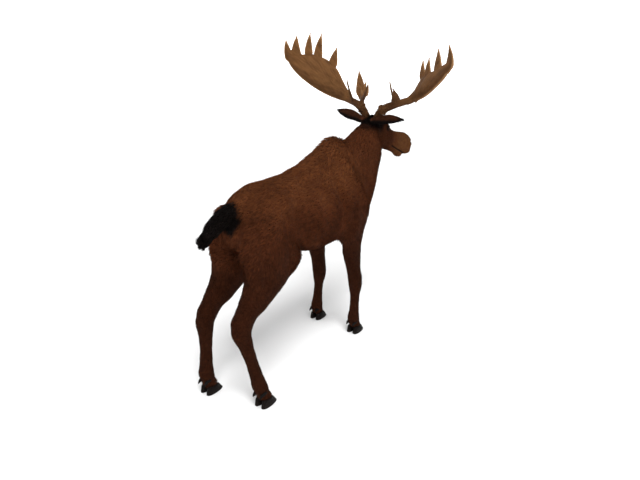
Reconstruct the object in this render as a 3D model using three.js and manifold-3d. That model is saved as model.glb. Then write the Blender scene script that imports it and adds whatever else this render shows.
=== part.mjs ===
// A bull moose in its full autumn antlers, standing, at life size.
// Millimetres, +Z up, +X towards the head, +Y to the animal's left. The four soles stand at z = 0.
// The body is lofted as one flesh and parted with thin cuts. Antlers, ears, tail, eyes, hooves and
// dewclaws are solids of their own.
import * as THREE from "three";
import { mergeVertices } from "three/addons/utils/BufferGeometryUtils.js";
import Module from "manifold-3d";

const wasm = await Module();
wasm.setup();

// Driving dimensions
const WITHERS = 2100;               // top of the shoulder hump
const CROUP = 1828;                 // top of the rump
const BELLY = 1040;                 // deepest part of the chest
const CORONET = 74;                 // top of the hooves
const GAP = 0.4;                    // clearance of every cut
const WELD = 1e-3;                  // vertices closer than this are one
const POLL = new THREE.Vector3(1075, 0, 2240);
const HEAD_LENGTH = 803;            // from the poll to the upper lip
const HEAD_PITCH = 20;              // degrees the face line falls forward
const HEAD_YAW = -4.5;              // degrees, to the animal's right
const NECK_PIVOT = new THREE.Vector3(650, 0, 2100);
const FLANK_CUT = 1000;             // height where the limbs leave the flanks

const radians = THREE.MathUtils.degToRad;
const vec = (x, y, z) => new THREE.Vector3(x, y, z);
const AHEAD = vec(1, 0, 0);
const UP = vec(0, 0, 1);
const SIDES = [["left", 1], ["right", -1]];

const group = new THREE.Group();
const COATS = {
  coat: new THREE.MeshStandardMaterial({ color: 0x4b2a17, roughness: 0.9, metalness: 0 }),
  leg: new THREE.MeshStandardMaterial({ color: 0x40220f, roughness: 0.9, metalness: 0 }),
  black: new THREE.MeshStandardMaterial({ color: 0x15100d, roughness: 0.85, metalness: 0 }),
  antler: new THREE.MeshStandardMaterial({ color: 0x8a6036, roughness: 0.7, metalness: 0 }),
  hoof: new THREE.MeshStandardMaterial({ color: 0x14110f, roughness: 0.45, metalness: 0 }),
  eye: new THREE.MeshStandardMaterial({ color: 0x120b07, roughness: 0.08, metalness: 0 }),
};

// ---- Solids -------------------------------------------------------------------------------------

// A geometry as a manifold solid, turned so that its faces point out.
function solid(geometry) {
  const bare = geometry.clone();
  bare.deleteAttribute("normal");
  bare.deleteAttribute("uv");
  const merged = mergeVertices(bare, WELD);
  const triVerts = Uint32Array.from(merged.index.array);
  const made = (verts) => new wasm.Manifold(new wasm.Mesh({
    numProp: 3, vertProperties: Float32Array.from(merged.attributes.position.array), triVerts: verts,
  }));
  const first = made(triVerts);
  return first.volume() > 0 ? first : made(triVerts.reverse());
}

// A solid's surface as a geometry, each vertex carried by place.
function surface(body, place = (p) => p) {
  const mesh = body.getMesh();
  const geometry = new THREE.BufferGeometry();
  const verts = new THREE.BufferAttribute(mesh.vertProperties, 3);
  for (let i = 0; i < verts.count; i++) {
    const p = place(vec(verts.getX(i), verts.getY(i), verts.getZ(i)));
    verts.setXYZ(i, p.x, p.y, p.z);
  }
  geometry.setAttribute("position", verts);
  geometry.setIndex(new THREE.BufferAttribute(mesh.triVerts, 1));
  return geometry;
}
const carried = (body, place) => solid(surface(body, place));

// A solid goes into the group as a named mesh.
function addPart(name, body, material) {
  const geometry = surface(body);
  geometry.computeVertexNormals();
  const part = new THREE.Mesh(geometry, COATS[material]);
  part.name = name;
  group.add(part);
}

// Rows of numbers as a smooth function of t from 0 to 1, each row at its own place in t.
function through(rows, places = rows.map((_, i) => i)) {
  const flat = new Float64Array(rows.flat());
  const curve = new THREE.CubicInterpolant(Float64Array.from(places), flat, rows[0].length);
  const last = places[places.length - 1];
  return (t) => Array.from(curve.evaluate(t * last));
}

// A closed loft: a cylinder whose rings are carried to section(t), which gives a middle and three
// reaches from it, to the side, up and down. The powers sharpen (>1) or square (<1) each half, and
// bow pushes the middle of the section out of its plane.
function loft(sides, rings, section) {
  const tube = new THREE.CylinderGeometry(1, 1, 1, sides, rings);
  const place = tube.attributes.position;
  for (let i = 0; i < place.count; i++) {
    const x = place.getX(i);
    const y = place.getZ(i);
    const out = Math.hypot(x, y) > 0.5 ? 1 : 0;
    const at = section(0.5 - place.getY(i));
    const power = y > 0 ? at.upPower : at.downPower;
    const end = y > 0 ? at.up : at.down;
    const p = at.middle.clone();
    p.addScaledVector(at.side, out * Math.sign(x) * Math.abs(x) ** power);
    p.addScaledVector(end, out * Math.abs(y) ** power);
    p.addScaledVector(at.bow ?? vec(0, 0, 0), 1 - y * y);
    place.setXYZ(i, p.x, p.y, p.z);
  }
  return solid(tube);
}

// A box from its middle, size and turn in degrees about X, Y and Z.
function block(middle, size, turn = [0, 0, 0], grow = 0) {
  const box = new THREE.BoxGeometry(size[0] + 2 * grow, size[1] + 2 * grow, size[2] + 2 * grow);
  box.applyMatrix4(new THREE.Matrix4().makeRotationFromEuler(new THREE.Euler(...turn.map(radians), "ZYX")));
  box.translate(...middle);
  return solid(box);
}

// Cuts a region off a body, with the gap on the body's side.
function partOff(body, middle, size, turn = [0, 0, 0]) {
  return [body.intersect(block(middle, size, turn)), body.subtract(block(middle, size, turn, GAP))];
}

// What stands out of a body, moved clear of it along an axis.
function sprout(shape, body, axis) {
  const shift = axis.clone().normalize().multiplyScalar(2 * GAP);
  return carried(shape.subtract(body), (p) => p.add(shift));
}

// ---- Head frame ---------------------------------------------------------------------------------

// The neck's share of the head's turn, from 0 at the shoulder to 1 at the poll.
function turned(point, share) {
  const p = point.clone().sub(NECK_PIVOT);
  p.applyAxisAngle(vec(0, 0, 1), radians(HEAD_YAW * share));
  return p.add(NECK_PIVOT);
}

// A point u along the face from the poll, y to the left and v above the face line, before the turn.
function onFace(u, v, y = 0) {
  return vec(u, y, v).applyAxisAngle(vec(0, 1, 0), radians(HEAD_PITCH)).add(POLL);
}

// ---- Trunk, neck and head as one loft -----------------------------------------------------------

// Each row: top x z, underside x z, half width, where it is widest, top and underside powers, turn.
const TRUNK = [
  [-945, 1545, -940, 1390, 60, 0.50, 1.0, 1.0, 0],
  [-868, 1672, -905, 1300, 165, 0.50, 1.0, 1.0, 0],
  [-770, 1768, -800, 1235, 245, 0.52, 1.05, 1.0, 0],
  [-640, CROUP, -640, 1190, 285, 0.55, 1.1, 1.0, 0],
  [-400, 1838, -400, 1165, 288, 0.55, 1.1, 0.95, 0],
  [-100, 1863, -100, 1085, 340, 0.48, 1.1, 0.9, 0],
  [180, 1960, 180, BELLY, 352, 0.45, 1.2, 0.9, 0],
  [420, WITHERS, 400, BELLY, 318, 0.42, 1.3, 0.9, 0],
  [560, 2080, 600, 1072, 296, 0.42, 1.3, 0.95, 0],
];
const NECK = [
  [690, 2030, 790, 1135, 272, 0.42, 1.15, 1.0, 0.1],
  [795, 2064, 925, 1262, 240, 0.45, 1.05, 1.0, 0.35],
  [890, 2112, 1020, 1425, 210, 0.48, 1.0, 1.0, 0.6],
  [975, 2164, 1095, 1590, 182, 0.50, 1.0, 1.0, 0.8],
  [1035, 2208, 1148, 1735, 156, 0.52, 1.0, 1.0, 0.95],
];
// Face rows: top u v, underside u v, then as above.
const FACE = [
  [5, 4, 118, -362, 122, 0.58, 0.95, 0.95],
  [120, 6, 205, -350, 122, 0.60, 0.85, 0.95],
  [215, -14, 270, -318, 113, 0.62, 0.85, 0.95],
  [330, -56, 365, -292, 88, 0.55, 0.9, 0.95],
  [450, -66, 465, -272, 72, 0.50, 0.9, 0.95],
  [570, -46, 570, -256, 74, 0.50, 0.85, 0.9],
  [665, -32, 660, -258, 84, 0.48, 0.8, 0.85],
  [740, -52, 728, -264, 84, 0.46, 0.8, 0.85],
  [785, -98, 774, -258, 66, 0.48, 0.85, 0.85],
  [HEAD_LENGTH, -150, 798, -232, 36, 0.50, 0.9, 0.9],
];
const faceRow = ([topU, topV, lowU, lowV, ...rest]) => {
  const top = onFace(topU, topV);
  const low = onFace(lowU, lowV);
  return [top.x, top.z, low.x, low.z, ...rest, 1];
};

function ringOf([topX, topZ, lowX, lowZ, half, widest, upPower, downPower, share]) {
  const top = vec(topX, 0, topZ);
  const low = vec(lowX, 0, lowZ);
  const middle = low.clone().lerp(top, widest);
  const moved = turned(middle, share);
  return {
    middle: moved, upPower, downPower,
    side: turned(vec(middle.x, half, middle.z), share).sub(moved),
    up: turned(top, share).sub(moved),
    down: turned(low, share).sub(moved),
  };
}

const spine = through([...TRUNK, ...NECK, ...FACE.map(faceRow)]);
let piece;
let flesh = loft(16, 29, (t) => ringOf(spine(t)));

// The lower jaw lies under the mouth line, and its lip ends short of the overhanging upper lip.
const JAW = [
  [330, -190, 360, -296, 74, 0.5, 1.0, 0.9],
  [470, -205, 480, -290, 54, 0.5, 0.9, 0.9],
  [580, -215, 580, -296, 48, 0.5, 0.9, 0.85],
  [655, -225, 645, -314, 46, 0.5, 0.9, 0.8],
  [700, -235, 690, -306, 32, 0.5, 0.9, 0.9],
];
const jawLine = through(JAW.map(faceRow));
flesh = flesh.add(loft(8, 5, (t) => ringOf(jawLine(t))));

// ---- Legs ---------------------------------------------------------------------------------------

// Each row: place along the chain of joints, reach forward, reach back, half width.
const HIND = [
  [0.00, 215, 240, 128], [0.47, 255, 352, 154], [0.89, 245, 356, 150], [1.24, 262, 240, 134],
  [1.56, 224, 148, 106], [1.80, 160, 136, 88], [1.98, 130, 112, 80], [2.14, 90, 98, 72],
  [2.40, 68, 63, 59], [2.78, 63, 60, 57], [2.97, 72, 75, 66], [3.50, 68, 64, 62], [4.00, 86, 69, 67],
];
const FORE = [
  [0.00, 262, 155, 104], [0.50, 256, 175, 124], [1.00, 212, 154, 116], [1.20, 158, 138, 102],
  [1.45, 116, 110, 85], [1.75, 86, 84, 71], [1.93, 82, 79, 76], [2.08, 78, 75, 73],
  [2.28, 60, 58, 58], [2.75, 56, 57, 55], [2.97, 66, 72, 63], [3.50, 62, 60, 59], [4.00, 79, 65, 63],
];
// Joints from the hip or shoulder down to the coronet. side is +1 on the left.
const LEGS = [
  {
    name: "hind_left", side: 1, shape: HIND, knee: 800, ankle: 225,
    joints: [
      [-660, 165, 1620], [-600, 190, 1150], [-1042, 232, 735], [-1092, 214, 190], [-1070, 204, CORONET],
    ],
  },
  {
    name: "hind_right", side: -1, shape: HIND, knee: 800, ankle: 225,
    joints: [
      [-660, -165, 1620], [-600, -190, 1150], [-1048, -178, 745], [-950, -290, 190], [-920, -308, CORONET],
    ],
  },
  {
    name: "fore_left", side: 1, shape: FORE, knee: 665, ankle: 210,
    joints: [[520, 210, 1500], [450, 215, 1120], [598, 262, 590], [606, 306, 170], [632, 316, CORONET]],
  },
  {
    name: "fore_right", side: -1, shape: FORE, knee: 665, ankle: 210,
    joints: [[520, -210, 1500], [450, -212, 1120], [592, -208, 590], [592, -194, 170], [618, -192, CORONET]],
  },
];

// A leg is a loft of level rings along its chain of joints.
function legLoft({ shape, joints }) {
  const girth = through(shape, shape.map((row) => row[0] / 4));
  const chain = (s) => {
    const i = Math.min(Math.floor(s), 3);
    return vec(...joints[i]).lerp(vec(...joints[i + 1]), s - i);
  };
  return loft(10, 17, (t) => {
    const [place, ahead, behind, half] = girth(t);
    return {
      middle: chain(THREE.MathUtils.clamp(place, 0, 4)), upPower: 0.95, downPower: 0.95,
      side: vec(0, half, 0), up: vec(ahead, 0, 0), down: vec(-behind, 0, 0),
    };
  });
}
for (const leg of LEGS) {
  flesh = flesh.add(legLoft(leg));
}

// ---- Hooves and dewclaws ------------------------------------------------------------------------

const CLEAVE = { half: 33, apart: 36, splay: 4 };   // half width, offset from the foot's middle, degrees
// From the sole up: height, reach to the toe, reach to the heel, half width.
const HOOF = [
  [0, 114, 72, CLEAVE.half], [30, 99, 72, CLEAVE.half - 1], [CORONET - GAP, 74, 64, CLEAVE.half - 4],
];
const hoofWall = through(HOOF);

function cleave(foot, side) {
  const toe = vec(1, 0, 0).applyAxisAngle(vec(0, 0, 1), radians(side * CLEAVE.splay));
  const across = vec(-toe.y, toe.x, 0);
  return loft(10, 2, (t) => {
    const [height, ahead, behind, half] = hoofWall(t);
    return {
      middle: vec(foot[0], foot[1] + side * CLEAVE.apart, height), upPower: 1.3, downPower: 0.8,
      side: across.clone().multiplyScalar(half), up: toe.clone().multiplyScalar(ahead),
      down: toe.clone().multiplyScalar(-behind),
    };
  });
}

// A tapered horn or stub through points, with its half width and half thickness at each. The
// thickness lies across both the path and the given direction.
function horn(points, girth, across, sides, rings) {
  const path = new THREE.CatmullRomCurve3(points);
  const girthAt = through(girth);
  return loft(sides, rings, (t) => {
    const along = path.getTangent(t);
    const side = across.clone().cross(along).normalize();
    const up = along.clone().cross(side).normalize();
    const [half, thick] = girthAt(t);
    return {
      middle: path.getPoint(t), upPower: 1, downPower: 1, side: side.multiplyScalar(thick),
      up: up.clone().multiplyScalar(half), down: up.multiplyScalar(-half),
    };
  });
}

// Two dewclaws hang behind the fetlock of each foot.
const DEWCLAW = {
  behind: 34, apart: 32, height: 150, reach: [-66, 10, -46], girth: [[21, 17], [20, 16], [5, 4]],
};

for (const { name, joints } of LEGS) {
  const foot = joints[4];
  for (const [label, side] of SIDES) {
    addPart(`hoof_${name}_${label}`, cleave(foot, side), "hoof");
    const root = vec(foot[0] - DEWCLAW.behind, foot[1] + side * DEWCLAW.apart, DEWCLAW.height);
    const reach = vec(DEWCLAW.reach[0], side * DEWCLAW.reach[1], DEWCLAW.reach[2]);
    const points = [root, root.clone().addScaledVector(reach, 0.6), root.clone().add(reach)];
    const claw = horn(points, DEWCLAW.girth, UP, 5, 2);
    addPart(`dewclaw_${name}_${label}`, sprout(claw, flesh, reach), "hoof");
  }
}

// ---- Head furniture -----------------------------------------------------------------------------

const EYE = { u: 215, v: -92, y: 93, radius: 22 };
const onHead = (p) => turned(p, 1);
const mirrored = (p, side) => vec(p.x, p.y * side, p.z);
// Antlers and ears are shaped on the left and carried to both sides of the turned head.
const toHead = (body, side) => carried(body, (p) => onHead(mirrored(p, side)));

// ---- Ears ---------------------------------------------------------------------------------------

// Along the ear: half its breadth and half its thickness.
const EAR_GIRTH = [[26, 24], [44, 26], [55, 22], [56, 15], [46, 11], [28, 8], [6, 4]];
const EAR = { u: -22, v: -84, y: 78, length: 345, curl: 12, ahead: 0, lift: { left: 0.25, right: 0.14 } };
const earGirth = through(EAR_GIRTH);

function ear(along) {
  const back = vec(-0.75, -0.1, 0.62).projectOnPlane(along).normalize();
  return loft(10, 8, (t) => {
    const [breadth, depth] = earGirth(t);
    const middle = onFace(EAR.u, EAR.v, EAR.y).addScaledVector(along, EAR.length * t);
    return {
      middle: middle.addScaledVector(back, EAR.curl * Math.sin(Math.PI * t)), upPower: 0.9, downPower: 1.6,
      side: along.clone().cross(back).multiplyScalar(breadth),
      up: back.clone().multiplyScalar(depth), down: back.clone().multiplyScalar(-depth / 2),
    };
  });
}
for (const [label, side] of SIDES) {
  const along = vec(EAR.ahead, 1, EAR.lift[label]).normalize();
  addPart(`ear_${label}`, sprout(toHead(ear(along), side), flesh, mirrored(along, side)), "coat");
}

// ---- Antlers ------------------------------------------------------------------------------------

// Places are given from the poll: ahead, out to the side and up. The beam runs from inside the skull
// into the palm. Its rows: ahead, out, half width. The third is the burr.
const BEAM = [
  [15, 60, 36], [12, 100, 37], [16, 130, 48], [30, 175, 38], [67, 260, 36], [98, 340, 34], [95, 420, 30],
  [62, 520, 22],
];
// The palm stands along a curved wall. How far ahead the wall is at each distance out:
const WALL = [
  [300, 115], [370, 112], [480, 85], [612, 17], [728, -65], [852, -145], [968, -215], [1042, -257],
];
const PALM_THICKNESS = [28, 21, 15, 13, 12, 11, 10];        // half of it, from the beam outwards
const BROW_STEM = [
  [20, 150, 50, 30], [70, 180, 80, 28], [160, 240, 100, 24], [250, 310, 130, 21], [320, 370, 190, 13],
];
const ACROSS_PALM = vec(0.5, -0.85, 0);
const BROW_WIDE = [vec(0.6, 0.8, 0), vec(0.6, -0.8, 0)];    // of the first brow tine, and of the others
// No two antlers match: the right palm is lower and has four broad tines, and the left has five.
// beam: height of each point. palm: lower edge out and up, upper edge out and up.
// tines: root out and up, tip out and up, half width, outward bend. brow: root, tip, half width.
const ANTLERS = {
  left: {
    beam: [-50, 10, 40, 63, 84, 97, 115, 148],
    palm: [
      [360, 100, 372, 140], [480, 116, 440, 255], [612, 160, 515, 415], [728, 235, 605, 505],
      [845, 333, 720, 560], [935, 440, 850, 560], [975, 540, 950, 560],
    ],
    tines: [
      [955, 480, 990, 712, 58, 24], [877, 500, 886, 748, 62, 8], [772, 510, 766, 776, 52, 0],
      [690, 490, 664, 770, 54, 4], [565, 410, 524, 632, 56, -4],
    ],
    brow: [
      [130, 215, 85, 152, 165, 262, 40], [280, 345, 100, 385, 468, 392, 62],
      [270, 310, 120, 400, 345, 240, 45], [300, 360, 140, 470, 430, 270, 34],
    ],
  },
  right: {
    beam: [-50, 10, 40, 66, 100, 128, 152, 188],
    palm: [
      [360, 125, 372, 160], [480, 162, 440, 220], [612, 205, 495, 300], [728, 262, 580, 390],
      [855, 340, 720, 420], [950, 415, 850, 465], [990, 500, 960, 515],
    ],
    tines: [
      [955, 420, 945, 650, 72, 26], [805, 380, 788, 618, 78, 10], [655, 340, 635, 540, 64, 0],
      [570, 320, 540, 515, 60, 0],
    ],
    brow: [
      [128, 212, 85, 140, 165, 235, 52], [280, 345, 110, 385, 450, 350, 55],
      [270, 310, 120, 400, 345, 210, 45], [300, 360, 130, 470, 430, 240, 34],
    ],
  },
};
const SNAG = [[50, 268, 80], [-70, 266, 318], 19];          // a spike behind the beam
const TINE_TAPER = [1, 0.89, 0.61];     // share of the root's width at each third of the length
const TINE_TIP = [8, 6];
const PALM_TINE = { thickness: 15, bend: -12, tipAhead: 12 };
const BROW_THICKNESS = 13;
const PALM_CUP = 26;                // how far the palm bulges back

const fromPoll = (x, y, z) => POLL.clone().add(vec(x, y, z));
const wallAhead = through(WALL.map((row) => [row[1]]), WALL.map((row) => row[0] - WALL[0][0]));
const onWall = (y, z) => fromPoll(wallAhead((y - WALL[0][0]) / (WALL.at(-1)[0] - WALL[0][0]))[0], y, z);

// The palm is a loft whose sections stand on its lower edge and reach its upper edge.
function palm(rows) {
  const row = through(rows.map(([lowY, lowZ, highY, highZ], i) => {
    const low = onWall(lowY, lowZ);
    const high = onWall(highY, highZ);
    const brim = high.clone().sub(low).setLength(PALM_THICKNESS[i]);
    return [...low.sub(brim), ...high.add(brim), PALM_THICKNESS[i]];
  }));
  const halfway = (t) => {
    const r = row(THREE.MathUtils.clamp(t, 0, 1));
    return vec((r[0] + r[3]) / 2, (r[1] + r[4]) / 2, (r[2] + r[5]) / 2);
  };
  return loft(8, 7, (t) => {
    const r = row(t);
    const middle = halfway(t);
    const up = vec(r[3], r[4], r[5]).sub(middle);
    const face = halfway(t + 0.05).sub(halfway(t - 0.05)).cross(up).normalize();
    return {
      middle, upPower: 0.7, downPower: 0.7, side: face.clone().multiplyScalar(r[6]), up,
      down: up.clone().negate(), bow: face.multiplyScalar(PALM_CUP * Math.sin(Math.PI * t)),
    };
  });
}
function tine(root, tip, half, thickness, bend, wide) {
  const points = [0, 1 / 3, 2 / 3, 1].map(
    (share) => root.clone().lerp(tip, share).addScaledVector(bend, 4 * share * (1 - share)));
  return horn(points, [...TINE_TAPER.map((share) => [half * share, thickness]), TINE_TIP], wide, 6, 3);
}
const STRAIGHT = vec(0, 0, 0);

function antlerOf({ beam, palm: palmRows, tines, brow }) {
  const beamPoints = BEAM.map(([x, y], i) => fromPoll(x, y, beam[i]));
  let antler = horn(beamPoints, BEAM.map((row) => [row[2], row[2]]), AHEAD, 8, 8).add(palm(palmRows));
  const stem = BROW_STEM.map(([x, y, z]) => fromPoll(x, y, z));
  antler = antler.add(horn(stem, BROW_STEM.map((row) => [row[3], row[3]]), UP, 6, 4));
  for (const [rootY, rootZ, tipY, tipZ, half, bend] of tines) {
    const tip = onWall(tipY, tipZ).add(vec(PALM_TINE.tipAhead, 0, 0));
    const bent = vec(PALM_TINE.bend, bend, 0);
    antler = antler.add(tine(onWall(rootY, rootZ), tip, half, PALM_TINE.thickness, bent, ACROSS_PALM));
  }
  brow.forEach((row, i) => {
    const root = fromPoll(...row.slice(0, 3));
    const tip = fromPoll(...row.slice(3, 6));
    antler = antler.add(tine(root, tip, row[6], BROW_THICKNESS, STRAIGHT, BROW_WIDE[Math.min(i, 1)]));
  });
  const [root, tip, half] = SNAG;
  return antler.add(tine(fromPoll(...root), fromPoll(...tip), half, BROW_THICKNESS, STRAIGHT, vec(0, 1, 0)));
}

// Cut at its forks and just under the burr. What is left is the pedicle, a part of the skull.
// Each region: middle, size and turn.
const FORKS = {
  brow: [[1535, 202, 2588], [620, 490, 600], [0, 0, -30]],
  palm: [[1150, 1150, 2600], [1200, 1500, 1000], [0, 0, 8]],
  beam: [[1100, 506, 2440], [600, 800, 700], [40, 0, 0]],
};
for (const [label, side] of SIDES) {
  let antler = antlerOf(ANTLERS[label]);
  for (const [part, region] of Object.entries(FORKS)) {
    [piece, antler] = partOff(antler, ...region);
    addPart(`antler_${part}_${label}`, toHead(piece, side), "antler");
  }
  flesh = flesh.add(toHead(antler, side));
}

// ---- Tail and bell ------------------------------------------------------------------------------

// The tail hides its root in the rump and is held out from it.
const TAIL = [vec(-790, 0, 1690), vec(-930, 0, 1640), vec(-1090, 0, 1555), vec(-1201, 0, 1462)];
const tail = horn(TAIL, [[60, 70], [82, 88], [74, 76], [40, 44]], UP, 8, 5);
addPart("tail", sprout(tail, flesh, TAIL[3].clone().sub(TAIL[1])), "black");

// The bell is a flap of skin and hair that hangs from the throat, and leaves it at right angles.
const OFF_THROAT = vec(0.75, -0.02, -0.65);
const BELL = [vec(1120, 0, 1840), vec(1135, 0, 1735), vec(1128, 0, 1650), vec(1110, 0, 1585)];
const bell = horn(BELL, [[44, 24], [42, 22], [32, 17], [10, 7]], AHEAD, 8, 5);
addPart("bell", sprout(bell, flesh, OFF_THROAT), "coat");

// ---- Eyes ---------------------------------------------------------------------------------------

for (const [label, side] of SIDES) {
  const middle = onHead(onFace(EYE.u, EYE.v, EYE.y * side));
  const ball = (r) => solid(new THREE.SphereGeometry(r, 8, 6).translate(middle.x, middle.y, middle.z));
  flesh = flesh.subtract(ball(EYE.radius + GAP));
  addPart(`eye_${label}`, ball(EYE.radius), "eye");
}

// ---- Parting the flesh --------------------------------------------------------------------------

const MOUTH = { u: 640, v: -351, length: 440, width: 400, height: 200, tilt: 4.5 };
// Regions ahead of the throat and ahead of the shoulder: middle, size and turn.
const THROAT = [[1803, 0, 2252], [1500, 1500, 1400], [0, -18, HEAD_YAW]];
const COLLAR = [[1500, 0, 1750], [1500, 1500, 1600], [0, -8, 0]];

// Lower jaw: all that lies under the mouth line, ahead of the cheek.
const mouth = onHead(onFace(MOUTH.u, MOUTH.v)).toArray();
const mouthTurn = [0, HEAD_PITCH + MOUTH.tilt, HEAD_YAW];
[piece, flesh] = partOff(flesh, mouth, [MOUTH.length, MOUTH.width, MOUTH.height], mouthTurn);
addPart("lower_jaw", piece, "coat");

[piece, flesh] = partOff(flesh, ...THROAT);
addPart("head", piece, "coat");

// Each limb leaves the flank on a slanting face and is cut level below the belly.
const FLANK = {
  hind: { ahead: -350, behind: -1250, top: 1760, inner: 25, tilt: 22 },
  fore: { ahead: 815, behind: 215, top: 1820, inner: 75, tilt: 18 },
};
const REACH = 600;                  // from the middle of the body outwards, past any limb
const FLANK_DEPTH = 500;
const UNDERLAP = 80;                // how far the slanting region reaches below the level cut
for (const { name, side, knee, ankle } of LEGS) {
  const flank = FLANK[name.slice(0, 4)];
  const middle = (flank.ahead + flank.behind) / 2;
  const length = flank.ahead - flank.behind;
  const column = (low, high) => [[middle, side * REACH / 2, (low + high) / 2], [length, REACH, high - low]];
  const cuts = [
    ["foot", 0, ankle, "leg"], ["cannon", ankle, knee, "leg"], ["shank", knee, FLANK_CUT, "coat"],
  ];
  for (const [part, low, high, material] of cuts) {
    [piece, flesh] = partOff(flesh, ...column(low, high));
    addPart(`${part}_${name}`, piece, material);
  }
  const tilt = radians(flank.tilt);
  const slant = (flank.top - FLANK_CUT) / Math.cos(tilt);
  const along = vec(0, side * Math.sin(tilt), Math.cos(tilt));
  const out = vec(0, side * Math.cos(tilt), -Math.sin(tilt));
  const centre = vec(middle, side * flank.inner, FLANK_CUT);
  centre.addScaledVector(along, (slant - UNDERLAP) / 2).addScaledVector(out, FLANK_DEPTH / 2);
  const size = [length, FLANK_DEPTH, slant + UNDERLAP];
  [piece, flesh] = partOff(flesh, centre.toArray(), size, [-side * flank.tilt, 0, 0]);
  addPart(`${name.startsWith("hind") ? "thigh" : "shoulder"}_${name}`, piece, "coat");
}

[piece, flesh] = partOff(flesh, ...COLLAR);
addPart("neck", piece, "coat");
addPart("trunk", flesh, "coat");

// ---- Stand the animal on its origin -------------------------------------------------------------

const whole = new THREE.Box3().setFromObject(group);
const standing = whole.getCenter(vec(0, 0, 0));
group.position.set(-standing.x, -standing.y, -whole.min.z);

export default group;
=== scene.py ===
import bpy
import numpy as np
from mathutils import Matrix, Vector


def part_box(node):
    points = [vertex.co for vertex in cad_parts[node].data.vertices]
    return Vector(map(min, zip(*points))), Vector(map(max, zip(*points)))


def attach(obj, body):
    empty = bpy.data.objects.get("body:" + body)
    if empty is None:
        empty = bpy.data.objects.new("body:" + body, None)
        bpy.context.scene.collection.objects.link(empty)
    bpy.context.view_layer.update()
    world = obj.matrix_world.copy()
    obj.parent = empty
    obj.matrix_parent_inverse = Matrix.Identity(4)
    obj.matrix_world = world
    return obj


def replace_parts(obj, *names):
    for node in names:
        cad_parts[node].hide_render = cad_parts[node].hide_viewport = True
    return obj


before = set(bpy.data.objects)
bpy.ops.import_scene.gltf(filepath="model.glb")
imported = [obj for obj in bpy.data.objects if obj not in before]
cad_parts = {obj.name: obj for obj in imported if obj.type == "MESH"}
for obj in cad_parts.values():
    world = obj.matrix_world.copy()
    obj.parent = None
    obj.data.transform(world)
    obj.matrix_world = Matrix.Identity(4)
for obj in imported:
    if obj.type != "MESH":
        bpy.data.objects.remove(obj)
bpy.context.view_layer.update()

# ==== The body under the coat =======================================================================
# The animal's trunk, neck, head, legs, tail and bell, in one skin. The solids are welded into one
# body, rounded as flesh over bone, and taken in by the depth of the hair.

LEGS = ("hind_left", "hind_right", "fore_left", "fore_right")
SIDES = (("left", 1), ("right", -1))
FLESH = ["head", "lower_jaw", "neck", "trunk", "bell", "tail"]
FLESH += [f"{part}_{leg}" for leg in LEGS for part in ("shank", "cannon", "foot")]
FLESH += [f"thigh_{leg}" for leg in LEGS[:2]] + [f"shoulder_{leg}" for leg in LEGS[2:]]
UP = np.array([0.0, 0.0, 1.0])
midline = (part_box("trunk")[0].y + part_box("trunk")[1].y) / 2


def rising(low, high, value):
    """0 below low, 1 above high, and an even S between."""
    share = np.clip((value - low) / (high - low), 0, 1)
    return share * share * (3 - 2 * share)


def unit(vectors):
    """Each vector over its own length."""
    return vectors / np.maximum(np.linalg.norm(vectors, axis=-1, keepdims=True), 1e-9)


def solid_of(node):
    """A solid's points, each once, and its triangles."""
    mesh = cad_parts[node].data
    points = np.empty(len(mesh.vertices) * 3, np.float32)
    mesh.vertices.foreach_get("co", points)
    corners = np.empty(len(mesh.loops), np.int32)
    mesh.loops.foreach_get("vertex_index", corners)
    rounded = np.round(points.reshape(-1, 3), 5)
    _, first, same = np.unique(rounded, axis=0, return_index=True, return_inverse=True)
    return points.reshape(-1, 3)[first].astype(float), same.ravel()[corners].reshape(-1, 3)


def bare_mesh(name, points, faces):
    """A smooth-shaded mesh from an array of points and one of faces with equal numbers of corners."""
    mesh = bpy.data.meshes.new(name)
    mesh.vertices.add(len(points))
    mesh.vertices.foreach_set("co", np.asarray(points, np.float32).ravel())
    mesh.loops.add(faces.size)
    mesh.loops.foreach_set("vertex_index", np.asarray(faces, np.int32).ravel())
    mesh.polygons.add(len(faces))
    mesh.polygons.foreach_set("loop_start", np.arange(0, faces.size, faces.shape[1], dtype=np.int32))
    mesh.polygons.foreach_set("use_smooth", np.ones(len(faces), bool))
    mesh.update(calc_edges=True)
    return mesh


def joined(shapes):
    """Several (points, faces) as one."""
    starts = np.cumsum([0] + [len(points) for points, _ in shapes])
    faces = np.vstack([faces + start for (_, faces), start in zip(shapes, starts)])
    return np.vstack([points for points, _ in shapes]), faces


def two_each(squares):
    """Each square as two triangles."""
    return np.vstack([squares[:, [0, 1, 2]], squares[:, [0, 2, 3]]])


def put(name, data):
    """A new object in the scene."""
    made = bpy.data.objects.new(name, data)
    bpy.context.scene.collection.objects.link(made)
    return made


def welded(nodes, cube):
    """The solids joined into one body of small squares, which bridges the thin cuts between them."""
    holder = put("welding", bare_mesh("welding", *joined([solid_of(node) for node in nodes])))
    cubes = holder.modifiers.new("Cubes", "REMESH")
    cubes.mode = "VOXEL"
    cubes.voxel_size = cube
    made = holder.evaluated_get(bpy.context.evaluated_depsgraph_get()).to_mesh()
    points, corners = np.empty(len(made.vertices) * 3), np.empty(len(made.loops), np.int32)
    made.vertices.foreach_get("co", points)
    made.loops.foreach_get("vertex_index", corners)
    holder.to_mesh_clear()
    bpy.data.objects.remove(holder)
    return points.reshape(-1, 3), two_each(corners.reshape(-1, 4))


def sides_of(faces):
    """The sides of each face in turn, each as two point numbers, the lower one first."""
    return np.sort(np.stack([faces, np.roll(faces, -1, axis=1)], axis=-1).reshape(-1, 2), axis=1)


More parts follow.
